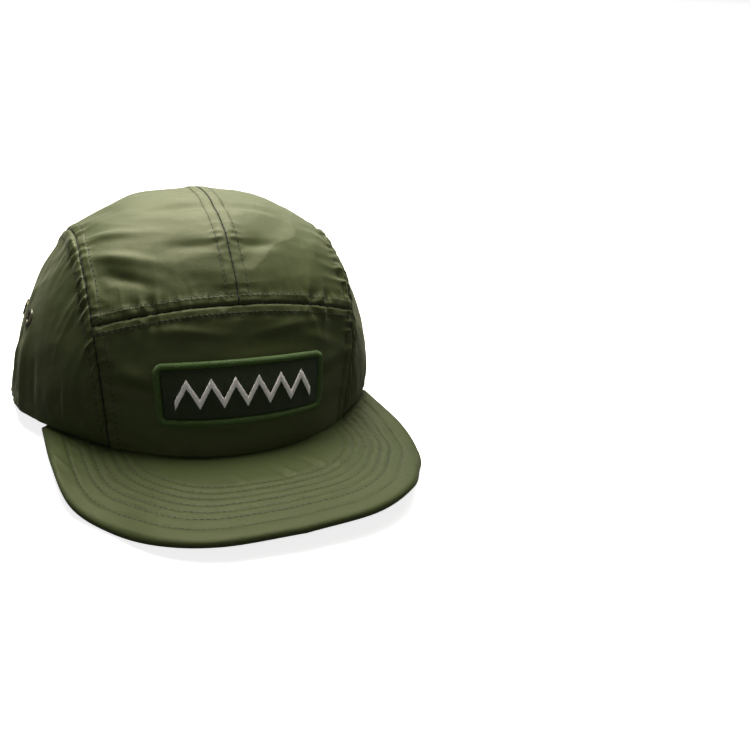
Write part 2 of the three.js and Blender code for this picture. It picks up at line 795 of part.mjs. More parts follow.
// The long strap comes from the right corner, passes round the middle bar and hangs free
function make_long_strap() {
  const turn_a = centre_half + round_bar;
  const under = over_bar + webbing_thickness + webbing_clearance + layer_play;
  const plan = [
    tucked(strap_tuck, -1),
    tucked(0.5 * strap_tuck, -1),
    tucked(0, -1).add(new THREE.Vector2(seat_gap, 0)),
    off_corner(strap_exit_in, strap_exit_back, -1),
    off_corner(long_bend_in, long_bend_share * strap_slack, -1),
    at_buckle(bar_half + 2 * turn_cut, -under - 2 * layer_play),
    at_buckle(turn_a, -under - layer_play),
    at_buckle(-turn_a + turn_cut, -over_bar - 2 * layer_play),
    at_buckle(-turn_a, -over_bar + turn_cut),
    at_buckle(-turn_a, over_bar - turn_cut),
    at_buckle(-turn_a + turn_cut, over_bar),
    at_buckle(turn_a - turn_cut, over_bar),
    at_buckle(turn_a, over_bar - turn_cut),
    at_buckle(turn_a, -over_bar + turn_cut),
    at_buckle(turn_a + turn_cut, -over_bar),
    at_buckle(bar_half + turn_cut, -over_bar),
    at_buckle(bar_half + layers_meet, -0.5 * over_bar),
    new THREE.Vector2(
      buckle_centre.x - tail_bend_share * tail_length, buckle_centre.y + tail_bend_back,
    ),
    new THREE.Vector2(buckle_centre.x - tail_length, buckle_centre.y + tail_tip_back),
  ];
  make_strap('strap_long', plan);
}

function rounded_rectangle(outline, left, bottom, right, top, corner) {
  outline.moveTo(left + corner, bottom);
  outline.lineTo(right - corner, bottom);
  outline.absarc(right - corner, bottom + corner, corner, -Math.PI / 2, 0);
  outline.lineTo(right, top - corner);
  outline.absarc(right - corner, top - corner, corner, 0, Math.PI / 2);
  outline.lineTo(left + corner, top);
  outline.absarc(left + corner, top - corner, corner, Math.PI / 2, Math.PI);
  outline.lineTo(left, bottom + corner);
  outline.absarc(left + corner, bottom + corner, corner, Math.PI, 1.5 * Math.PI);
  return outline;
}

function make_buckle() {
  const bottom = -slot_clearance - buckle_rail;
  const top = webbing_width + slot_clearance + buckle_rail;
  const outline = rounded_rectangle(
    new THREE.Shape(), -bar_half, bottom, bar_half, top, buckle_corner,
  );
  for (const [left, right] of [
    [-bar_half + buckle_bar, -centre_half],
    [centre_half, bar_half - buckle_bar],
  ]) {
    outline.holes.push(rounded_rectangle(
      new THREE.Path(), left, -slot_clearance, right, webbing_width + slot_clearance,
      slot_corner,
    ));
  }
  const plate = new THREE.ExtrudeGeometry(outline, {
    depth: buckle_thickness, bevelEnabled: false, curveSegments: 2,
  });
  plate.translate(0, 0, -buckle_thickness / 2);
  const up = strap_up(buckle_centre.x);
  const along = new THREE.Vector3(strap_way.x, strap_way.y, 0);
  const through = along.clone().cross(up);
  const frame = new THREE.Matrix4().makeBasis(along, up, through);
  const base = strap_base(buckle_centre.x);
  frame.setPosition(buckle_centre.x, buckle_centre.y, base);
  const piece = add_piece('buckle', plate, 'plastic');
  frame.decompose(piece.position, piece.quaternion, piece.scale);
}

// A point over the front panel: x along the patch, y up from its lower edge
function over_front(x, y, height) {
  const place = belt((patch_rise + y) / front_s_run, x / front_u_run);
  return raise(place, height);
}

function patch_slab(half_width, low, high, base, thickness, columns, rows) {
  const at = (height) => grid_of(columns, rows, (i, j) => over_front(
    THREE.MathUtils.lerp(-half_width, half_width, i / columns),
    THREE.MathUtils.lerp(low, high, j / rows),
    height,
  ));
  return solid_between(at(base + thickness), at(base));
}

const patch_base = 3 * seat_gap;

function make_patch() {
  const inset = border_width + 2 * seat_gap;
  const slab = patch_slab(
    patch_width / 2 - inset, inset, patch_height - inset, patch_base, patch_thickness, 14, 4,
  );
  add_piece('patch', slab, 'twill');
}

function make_patch_border() {
  const half = border_width / 2;
  const centre = rounded_rectangle(
    new THREE.Shape(), -patch_width / 2 + half, half, patch_width / 2 - half,
    patch_height - half, border_corner,
  );
  const section = [
    { out: 1, up: 0 },
    { out: 1, up: border_shoulder_up },
    { out: border_shoulder_out, up: 1 },
    { out: -border_shoulder_out, up: 1 },
    { out: -1, up: border_shoulder_up },
    { out: -1, up: 0 },
  ];
  const corners = centre.getPoints(3).slice(0, -1);
  const loop = corners.flatMap((point, i) => {
    const next = corners[(i + 1) % corners.length];
    const parts = Math.max(1, Math.round(point.distanceTo(next) / border_step));
    return Array.from({ length: parts }, (_, k) => point.clone().lerp(next, k / parts));
  });
  const rings = loop.map((point, i) => {
    const before = loop[(i + loop.length - 1) % loop.length];
    const after = loop[(i + 1) % loop.length];
    const way = after.clone().sub(before).normalize();
    const out = new THREE.Vector2(way.y, -way.x);
    return section.map((corner) => over_front(
      point.x + out.x * half * corner.out,
      point.y + out.y * half * corner.out,
      patch_base + border_height * corner.up,
    ));
  });
  add_piece('patch_border', solid_round(rings, true), 'border');
}

// A plain zigzag band, embroidered in the middle of the patch
function make_patch_motif() {
  const parts = 2;
  const columns = 2 * motif_peaks * parts;
  const swing = (motif_height - motif_stroke) / 2;
  const base = patch_base + patch_thickness + seat_gap;
  const at = (height) => grid_of(columns, 1, (i, j) => {
    const x = (i / columns - 0.5) * motif_width;
    const phase = (i / parts) % 2;
    const zigzag = swing * (1 - 2 * Math.abs(phase - 1));
    const y = patch_height / 2 + zigzag + (j - 0.5) * motif_stroke;
    return over_front(x, y, height);
  });
  add_piece('patch_motif', solid_between(at(base + motif_thickness), at(base)), 'thread');
}

make_front_panel();
make_top_panels();
make_casing();
make_side_panels();
make_eyelets();
make_peak();
make_sweatband();
make_short_strap();
make_long_strap();
make_buckle();
make_patch();
make_patch_border();
make_patch_motif();

// The origin is under the middle of the whole cap, on the surface that it rests on
const bounds = new THREE.Box3().setFromObject(cap, true);
const middle = bounds.getCenter(new THREE.Vector3());
cap.position.set(-middle.x, -middle.y, -bounds.min.z);
cap.updateMatrixWorld(true);

export default cap;
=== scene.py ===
import math

import bpy
import numpy as np
from bpy.props import FloatProperty, FloatVectorProperty, IntProperty, PointerProperty
from mathutils import Matrix, Vector
from mathutils.bvhtree import BVHTree


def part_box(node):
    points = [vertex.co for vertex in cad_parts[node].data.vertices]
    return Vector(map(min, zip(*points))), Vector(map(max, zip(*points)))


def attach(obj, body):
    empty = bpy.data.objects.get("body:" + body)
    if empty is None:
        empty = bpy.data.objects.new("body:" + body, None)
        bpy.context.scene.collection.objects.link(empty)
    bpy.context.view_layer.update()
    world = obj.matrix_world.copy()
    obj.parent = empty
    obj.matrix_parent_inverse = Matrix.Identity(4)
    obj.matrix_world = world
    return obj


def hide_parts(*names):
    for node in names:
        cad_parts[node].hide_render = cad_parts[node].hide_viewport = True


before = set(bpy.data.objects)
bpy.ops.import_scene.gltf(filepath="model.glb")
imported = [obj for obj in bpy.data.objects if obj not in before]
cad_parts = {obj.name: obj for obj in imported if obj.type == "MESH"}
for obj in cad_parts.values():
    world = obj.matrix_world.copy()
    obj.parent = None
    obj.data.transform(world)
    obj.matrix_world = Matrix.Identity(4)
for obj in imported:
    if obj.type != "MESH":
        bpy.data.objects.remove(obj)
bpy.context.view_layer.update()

bl_info = {
    "name": "Five Panel Cap",
    "version": (1, 0, 0),
    "blender": (4, 5, 0),
    "location": "3D View > Sidebar > Cap",
    "description": "Builds a nylon five panel cap with its stitching, patch, eyelets and buckled strap",
    "category": "Add Mesh",
}

hands = (("left", 1), ("right", -1))


def size(name, description, default):
    return FloatProperty(
        name=name, description=description, default=default, min=0, precision=5, unit="LENGTH",
    )


def number(name, description, default):
    return FloatProperty(name=name, description=description, default=default, precision=3)


def angle(name, description, degrees):
    return FloatProperty(
        name=name, description=description, default=math.radians(degrees), unit="ROTATION",
    )


def count(name, description, default):
    return IntProperty(name=name, description=description, default=default, min=1)


def linear(hex_code):
    """The linear colour of a screen colour such as 4d5a3a."""
    parts = [int(hex_code[k:k + 2], 16) / 255 for k in (0, 2, 4)]
    return tuple(p / 12.92 if p <= 0.04045 else ((p + 0.055) / 1.055) ** 2.4 for p in parts)


def colour(name, description, hex_code):
    return FloatVectorProperty(
        name=name, description=description, default=(*linear(hex_code), 1), size=4,
        min=0, max=1, subtype="COLOR",
    )


class CrownSizes(bpy.types.PropertyGroup):
    """Sizes of the five cloth panels."""
    long: size("Length", "Front hem to nape hem along the middle", 0.154)
    tall: size("Height", "Top of the crown above the nape hem", 0.111)
    half_wide: size("Half width", "Widest place of the side hem", 0.099)
    seam_spread: size("Seam spread", "Side seam to the middle at the widest place", 0.068)
    fullness: angle("Belt fullness", "How round the front and top panels are", 39.5)
    side_belly: size("Side belly", "Swell of a side panel between seam and hem", 0.007)
    side_tall_share: number("Side height", "Height of a side panel as a share of the height", 0.85)
    front_share: number("Front share", "Part of the seam line taken by the front panel", 0.23)
    wall: size("Wall", "Thickness of the cloth with its seams", 0.0016)
    seam_gap: size("Seam gap", "Clearance between two sewn panels", 0.00006)
    seat_gap: size("Seat gap", "Clearance under a piece that lies on another", 0.0003)
    fold_depth: size("Fold depth", "Depth of the deepest soft folds", 0.002)
    cloth_pitch: size("Cloth pitch", "Spacing of the mesh in the middle of a panel", 0.00095)
    seam_pitch: size("Seam pitch", "Spacing of the mesh beside a seam", 0.0005)


class SeamSizes(bpy.types.PropertyGroup):
    """Sizes of the seams and of the puckers that they draw."""
    row: size("Topstitch", "Topstitch row to the seam", 0.0053)
    ditch_depth: size("Ditch depth", "How far the cloth turns down into a seam", 0.001)
    ditch_width: size("Ditch width", "Half width of the ditch over a seam", 0.0008)
    pad: size("Allowance", "Rise of the doubled cloth beside a seam", 0.00045)
    row_depth: size("Row depth", "How far a row of thread pulls the cloth down", 0.00035)
    row_width: size("Row width", "Half width of that furrow", 0.0007)
    pucker: size("Pucker", "Height of the puckers beside a seam", 0.0013)
    pucker_pitch: size("Pucker pitch", "Spacing of the puckers along a seam", 0.0052)
    pucker_reach: size("Pucker reach", "How far puckers run away from a seam", 0.012)
    crumple: size("Crumple", "Height of the light unevenness all over the cloth", 0.0008)
    crumple_run: size("Crumple run", "Width of one such unevenness", 0.021)


class OpeningSizes(bpy.types.PropertyGroup):
    """Sizes of the rear opening and its gathered casing."""
    half_wide: size("Half width", "Half width of the opening at the hem", 0.0425)
    tall: size("Height", "Height of the opening along the cloth", 0.043)
    squareness: number("Squareness", "2 is an ellipse, more is squarer", 3)
    casing: size("Casing width", "Width of the gathered casing", 0.0075)
    casing_proud: size("Casing rise", "Outside of the casing over the crown cloth", 0.0005)
    casing_depth: size("Casing depth", "Inside of the casing under the cloth face", 0.0021)
    gather_pairs: count("Broad gathers", "Broad gathers on each half of the arch", 5)
    gather_depth: size("Gather depth", "Height of the broad gathers", 0.0009)
    gather_reach: size("Gather reach", "How far gathers run up into the top panels", 0.016)
    fine_pitch: size("Fine gathers", "Spacing of the fine gathers", 0.0036)
    fine_depth: size("Fine depth", "Height of the fine gathers", 0.0011)


class PeakSizes(bpy.types.PropertyGroup):
    """Sizes of the stiff peak."""
    reach: size("Reach", "Front hem to the peak's edge along the middle", 0.068)
    half_wide: size("Half width", "Half width of the peak", 0.090)
    thick: size("Thickness", "Thickness of the covered peak", 0.0032)
    lift: size("Lift", "Unit of height for the rows of the peak's edge", 0.010)
    camber: size("Camber", "Rise of the peak between crown and edge", 0.0016)
    edge_roll: size("Edge roll", "How far the top drops to the rolled edge", 0.0011)
    side_share: number("Side share", "Part of the side hem that the peak is sewn to", 0.28)
    end_proud: size("End", "Overhang of the peak's sewn end", 0.002)
    seat: size("Seat", "Ledge of the peak outside the crown cloth", 0.0007)
    rows: count("Inner rows", "Evenly spaced stitch rows", 6)
    row_pitch: size("Row pitch", "Spacing of the inner rows", 0.0046)
    flange: size("Flange", "Edge to the outermost row", 0.009)
    first_row: size("First inner row", "Edge to the first of the inner rows", 0.0152)
    groove: size("Groove", "Depth of a stitched groove", 0.0003)
    puff: size("Puff", "Swell of the rolled flange and between two rows", 0.0004)
    crease_width: size("Crease width", "Half width of a crease near the crown", 0.0024)
    crease_depth: size("Crease depth", "Height of a crease near the crown", 0.0008)


class BandSizes(bpy.types.PropertyGroup):
    """Sizes of the sweatband."""
    tall: size("Height", "Height of the band", 0.025)
    thick: size("Thickness", "Thickness of the band", 0.0013)
    clearance: size("Clearance", "Gap to the crown cloth", 0.0004)
    drop: size("Drop", "How far the band hangs below a raised hem", 0.0014)
    floor: size("Floor", "Lowest place of the band", 0.0004)


class StrapSizes(bpy.types.PropertyGroup):
    """Sizes of the webbing and the slide buckle."""
    wide: size("Webbing width", "Width of the webbing", 0.020)
    thick: size("Webbing thickness", "Thickness of the webbing", 0.0012)
    clearance: size("Clearance", "Webbing to buckle or cloth", 0.00035)
    slack: size("Slack", "Buckle behind the corners of the opening", 0.0185)
    lean: angle("Lean", "How far the strap leans out at the buckle", 17)
    tuck: size("Tuck", "Length sewn in behind the casing", 0.013)
    tail: size("Tail", "Free end past the buckle's centre", 0.046)
    turn_cut: size("Turn cut", "How far a turn is cut across its corner", 0.0011)
    lean_start: number("Lean start", "Share of the lean at the opening's corners", 0.35)
    exit_in: size("Exit", "Where a strap comes out, inwards from the corner", 0.0045)
    exit_back: size("Exit back", "Where a strap comes out, back from the corner", 0.0015)
    short_bend_in: size("Short bend", "Bend of the short strap, inwards", 0.015)
    short_bend_share: number("Short bend back", "The same, back as a share of the slack", 0.52)
    long_bend_in: size("Long bend", "Bend of the long strap, inwards", 0.016)
    long_bend_share: number("Long bend back", "The same, back as a share of the slack", 0.62)
    layers_meet: size("Layers meet", "Where two layers meet past the buckle", 0.008)
    loop_end: size("Loop end", "End of the folded layer past the buckle", 0.011)
    play: size("Play", "Extra clearance where webbing bends round a bar", 0.0001)
    tail_bend_share: number("Tail bend", "Bend of the free end as a share of its length", 0.68)
    tail_bend_back: size("Tail bend back", "Bend of the free end behind the buckle", 0.0083)
    tail_tip_back: size("Tail tip back", "Tip of the free end behind the buckle", 0.007)
    floor_clearance: size("Floor clearance", "Webbing above the floor", 0.0005)
    buckle_long: size("Buckle length", "Length of the slide buckle", 0.024)
    buckle_thick: size("Buckle thickness", "Thickness of the slide buckle", 0.0026)
    bar: size("Outer bar", "Width of the outer bars", 0.003)
    centre_bar: size("Middle bar", "Width of the middle bar", 0.005)
    rail: size("Rail", "Width of the rails over and under the webbing", 0.0025)
    buckle_turn: angle("Buckle turn", "Turn of the buckle seen from above", 20.9)
    corner: size("Corner", "Corner radius of the buckle", 0.0014)
    slot_clearance: size("Slot clearance", "Webbing edge to rail", 0.0009)
    soften: size("Soft edge", "Rounding of the buckle's edges", 0.00045)
    weave: size("Weave", "Spacing of the ribs of the webbing", 0.0012)
    weave_depth: size("Weave depth", "Height of the ribs of the webbing", 0.00011)


class EyeletSizes(bpy.types.PropertyGroup):
    """Sizes of the metal eyelets."""
    radius: size("Radius", "Outer radius of the flange", 0.0046)
    hole: size("Hole", "Radius of the hole", 0.0023)
    barrel: size("Barrel", "Outer radius of the barrel", 0.003)
    crown: size("Flange height", "Height of the rounded flange", 0.0006)
    back: size("Back", "Outer radius of the flange inside", 0.0039)
    back_gap: size("Back gap", "Clearance of the flange inside", 0.0005)
    dent: size("Dent", "How far the cloth is drawn in round an eyelet", 0.00005)


class PatchSizes(bpy.types.PropertyGroup):
    """Sizes of the woven patch with its border and embroidered band."""
    wide: size("Width", "Width of the patch", 0.084)
    tall: size("Height", "Height of the patch", 0.031)
    rise: size("Rise", "Lower edge over the front hem", 0.0153)
    thick: size("Thickness", "Thickness of the patch", 0.0012)
    border: size("Border width", "Width of the overlocked border", 0.0032)
    border_tall: size("Border height", "Height of the overlocked border", 0.0019)
    corner: size("Corner", "Corner radius of the border", 0.003)
    wrap: size("Wrap pitch", "Spacing of the threads of the border", 0.00062)
    motif_wide: size("Band width", "Width of the zigzag band", 0.066)
    motif_tall: size("Band height", "Height of the zigzag band", 0.015)
    stroke: size("Stroke", "Height of the zigzag's stroke", 0.005)
    peaks: count("Peaks", "Peaks of the zigzag", 6)
    motif_thick: size("Band thickness", "Thickness of the embroidery", 0.0007)
    satin: size("Satin pitch", "Spacing of the satin threads", 0.0004)


class StitchSizes(bpy.types.PropertyGroup):
    """Sizes of the seam stitches."""
    pitch: size("Pitch", "Spacing of the stitches", 0.0027)
    long: size("Length", "Length of a stitch", 0.0020)
    wide: size("Width", "Width of the thread", 0.00054)
    tall: size("Height", "Height of the thread over the cloth", 0.00042)
    # Size of the near-black dots of painted shade in the needle holes
    mark: size("Needle mark", "Size of the mark of the needle between two stitches", 0.0009)
    ditch_long: size("Ditch stitch", "Length of a stitch down in a seam", 0.0034)
    ditch_wide: size("Ditch width", "Width of a stitch down in a seam", 0.0009)
    twin: size("Twin rows", "Spacing of the two rows along the front panel's top", 0.0011)


class CapColours(bpy.types.PropertyGroup):
    """Colours of the finishes."""
    nylon: colour("Nylon", "Olive shell cloth", "38421f")
    # Painted shade: the crown's nylon made darker, so that the peak reads shaded
    peak_nylon_shaded: colour("Peak nylon", "Olive shell cloth of the peak", "343e20")
    # Painted shade: near black for the inner faces of the crown's cloth, standing in for the shade
    # inside the crown
    inside_shade: colour("Lining", "Inside of the crown", "0c0c0b")
    thread: colour("Thread", "Seam thread", "3a3820")
    # Painted shade: near black for the dots between the stitches, standing in for the shade in the
    # needle holes
    mark: colour("Needle marks", "Shade between two stitches", "0e1108")
    webbing: colour("Webbing", "Black webbing", "0b0b0c")
    plastic: colour("Plastic", "Black buckle", "121214")
    eyelet: colour("Eyelet", "Aged nickel eyelets", "7d7a66")
    twill: colour("Twill", "Dark green patch", "222f0f")
    border: colour("Border", "Green border thread", "3d591b")
    motif: colour("Embroidery", "Warm grey embroidery", "f4efea")
    band: colour("Sweatband", "Black sweatband", "0b0b0c")
    floor: colour("Floor", "Pale floor and backdrop", "f3f1f0")


class StageSizes(bpy.types.PropertyGroup):
    """Camera, floor and lights."""
    azimuth: angle("Azimuth", "Direction of the camera round the cap", -24.7)
    elevation: angle("Elevation", "Camera direction above the horizon", 23.05)
    roll: angle("Roll", "Roll of the camera", 5.14)
    camera_place: FloatVectorProperty(
        name="Camera", description="Camera place", default=(-0.1185, -0.3357, 0.1859), subtype="XYZ",
        unit="LENGTH", precision=5,
    )
    lens: number("Lens", "Focal length in millimetres", 35.18)
    shift_x: number("Shift X", "Horizontal shift of the picture", 0.132)
    shift_y: number("Shift Y", "Vertical shift of the picture", -0.0257)
    floor_half: size("Floor", "Half width of the floor", 60)
    sun: number("Distant light", "Strength of the distant light", 0.7)
    sun_width: angle("Distant width", "Softness of the distant light", 45)
    overhead: number("Overhead light", "Power of the sheet of light over the crown", 5.7)
    light_colour: colour("Light colour", "Colour of the three upper lights", "fffaf0")
    back_light: number("Back light", "Power of the light behind the cap", 12)
    fill: number("Fill light", "Power of the light before the cap", 1.6)
    horizon: number("Horizon", "Height of the white horizon", 0.082)
    ceiling: number("Ceiling", "Brightness of the ceiling", 0.07)
    ground: number("Ground", "Brightness below the horizon", 0.08)


size_groups = {
    "cap_crown": CrownSizes,
    "cap_seam": SeamSizes,
    "cap_opening": OpeningSizes,
    "cap_peak": PeakSizes,
    "cap_band": BandSizes,
    "cap_strap": StrapSizes,
    "cap_eyelet": EyeletSizes,
    "cap_patch": PatchSizes,
    "cap_stitch": StitchSizes,
    "cap_colours": CapColours,
    "cap_stage": StageSizes,
}


def table(columns, *rows):
    """Named columns of numbers, a row for each section or fold."""
    return {name: np.array([row[k] for row in rows]) for k, name in enumerate(columns)}


# Crown sections from the front hem over the top to the nape hem, as shares of the crown's
# length (y), height (z) and seam spread (x)
crown_sections = table(
    ("mid_y", "mid_z", "seam_x", "seam_y", "seam_z"),
    (-0.542, 0.041, 0.904, -0.406, 0.048),
    (-0.473, 0.397, 0.956, -0.373, 0.371),
    (-0.369, 0.689, 0.978, -0.308, 0.581),
    (-0.225, 0.895, 0.985, -0.168, 0.754),
    (-0.055, 0.993, 0.985, -0.019, 0.826),
    (0.125, 0.996, 0.985, 0.142, 0.786),
    (0.333, 0.842, 0.97, 0.318, 0.621),
    (0.449, 0.516, 0.935, 0.411, 0.357),
    (0.458, 0, 0.828, 0.382, 0),
)

# The two handles of the side hem's curve, as shares of half width, length and height
hem_handles = ((0.955, -0.275, 0.092), (1.318, 0.05, 0.076))

# The peak's edge from the middle to its sewn end: x as a share of the half width, reach of
# the reach, and the height of the lower edge on either hand as a share of the lift
peak_sections = table(
    ("x", "reach", "right", "left"),
    (0, 1, 0.63, 0.63),
    (0.382, 0.96, 0.5, 0.76),
    (0.64, 0.81, 0.3, 0.84),
    (0.811, 0.556, 0, 0.4),
    (0.951, 0.291, 0.24, 0),
    (1, -0.074, 0.82, 0.3),
)

# Soft folds: s runs along the side seam, t from the seam to the hem (side) or from the
# middle to the seam (belt). turn is in degrees from s towards t, run and spread are shares
# of the height and depth of the fold depth. hand 0 is on both hands.
fold_columns = ("s", "t", "turn", "run", "spread", "depth", "hand")
side_folds = table(
    fold_columns,
    (0.45, 0.78, 105, 0.38, 0.07, 1.1, 0),
    (0.37, 0.8, 112, 0.3, 0.05, -0.55, 0),
    (0.27, 0.8, 125, 0.3, 0.06, 0.5, 0),
    (0.62, 0.22, 60, 0.3, 0.07, 0.55, 0),
    (0.76, 0.6, 80, 0.4, 0.09, -0.45, 0),
    (0.2, 0.72, 112, 0.3, 0.035, 0.7, -1),
    (0.13, 0.62, 118, 0.28, 0.03, -0.6, -1),
    (0.55, 0.62, 95, 0.5, 0.035, 0.5, -1),
    (0.66, 0.35, 70, 0.4, 0.04, -0.5, -1),
)
belt_folds = table(
    fold_columns,
    (0.17, 0.8, 40, 0.25, 0.06, -0.4, 0),
    (0.4, 0.45, 20, 0.5, 0.12, -0.5, 0),
    (0.6, 0.5, -15, 0.5, 0.12, 0.5, 0),
    (0.8, 0.55, 25, 0.3, 0.08, 0.8, 0),
    (0.36, 0.78, 62, 0.34, 0.035, 0.85, -1),
    (0.31, 0.74, 55, 0.3, 0.03, -0.8, -1),
    (0.43, 0.8, 70, 0.36, 0.035, 0.75, -1),
    (0.47, 0.24, 88, 0.3, 0.04, -0.6, 0),
    (0.35, 0.2, 80, 0.24, 0.035, -0.5, 0),
    (0.13, 0.85, 60, 0.26, 0.04, 1.5, -1),
    (0.1, 0.74, 75, 0.3, 0.03, -1.1, 0),
    (0.16, 0.68, 110, 0.3, 0.035, 0.6, 1),
    (0.045, 0.3, 85, 0.4, 0.025, 0.8, -1),
    (0.04, 0.1, 95, 0.4, 0.025, -0.8, 1),
    (0.19, 0.35, 80, 0.3, 0.025, 0.45, 0),
)

# Eyelets on a side panel
eyelet_places = (("front", 0.5, 0.5), ("rear", 0.66, 0.49))

# Short creases in the cloth of the peak's top: x across and y behind the edge of the
# peak's middle, both as shares of the reach, turn in degrees from -Y, run and depth as
# shares of the row pitch and of the groove
peak_creases = table(
    ("x", "y", "turn", "run", "depth"),
    (-0.2, 0.62, 20, 2.6, 0.7),
    (0.13, 0.66, 24, 3.6, 1.4),
    (0.38, 0.7, 25, 3.2, 1.3),
    (0.66, 0.8, 20, 2.4, 1),
    (0.86, 0.72, 28, 2.8, 1),
    (0.5, 0.58, 12, 2.4, 0.7),
)


def points(x, y, z):
    return np.stack(np.broadcast_arrays(x, y, z), axis=-1).astype(float)


def unit(vectors):
    return vectors / np.linalg.norm(vectors, axis=-1, keepdims=True)


def lerp(a, b, share):
    return a + (b - a) * share


def smooth(x, low=0.0, high=1.0):
    x = np.clip((x - low) / (high - low), 0, 1)
    return x * x * (3 - 2 * x)


def bell(x):
    return np.exp(-(x ** 2))


def along_rows(rows, column, share):
    """A column's value at a share of the table's length, on a Catmull-Rom curve."""
    values = rows[column]
    last = len(values) - 1
    place = np.clip(share, 0, 1) * last
    i = np.minimum(np.floor(place).astype(int), last - 1)
    f = place - i
    wide = np.concatenate([[2 * values[0] - values[1]], values, [2 * values[-1] - values[-2]]])
    a, b, c, d = (wide[i + k] for k in range(4))
    bend = 2 * a - 5 * b + 4 * c - d
    return 0.5 * (2 * b + (c - a) * f + bend * f ** 2 + (3 * b - a - 3 * c + d) * f ** 3)


def noise(x, y, seed):
    """Gradient noise from about -0.7 to 0.7, the same for the same seed."""
    cells = 64
    turns = np.random.default_rng(seed).uniform(0, 2 * math.pi, (cells, cells))
    x, y = np.broadcast_arrays(x, y)
    i, j = np.floor(x).astype(int), np.floor(y).astype(int)
    fx, fy = x - i, y - j
    ease_x, ease_y = smooth(fx), smooth(fy)

    def corner(di, dj):
        turn = turns[(i + di) % cells, (j + dj) % cells]
        return np.cos(turn) * (fx - di) + np.sin(turn) * (fy - dj)

    low = lerp(corner(0, 0), corner(1, 0), ease_x)
    high = lerp(corner(0, 1), corner(1, 1), ease_x)
    return lerp(low, high, ease_y)


def creased(x, y, seed):
    """Noise with sharp ridges and broad hollows, as creased cloth has."""
    return 0.5 - 2.2 * np.abs(noise(x, y, seed))


def run_of(line):
    """Length along a line of points up to each of them."""
    steps = np.linalg.norm(np.diff(line, axis=0), axis=1)
    return np.concatenate([[0], np.cumsum(steps)])


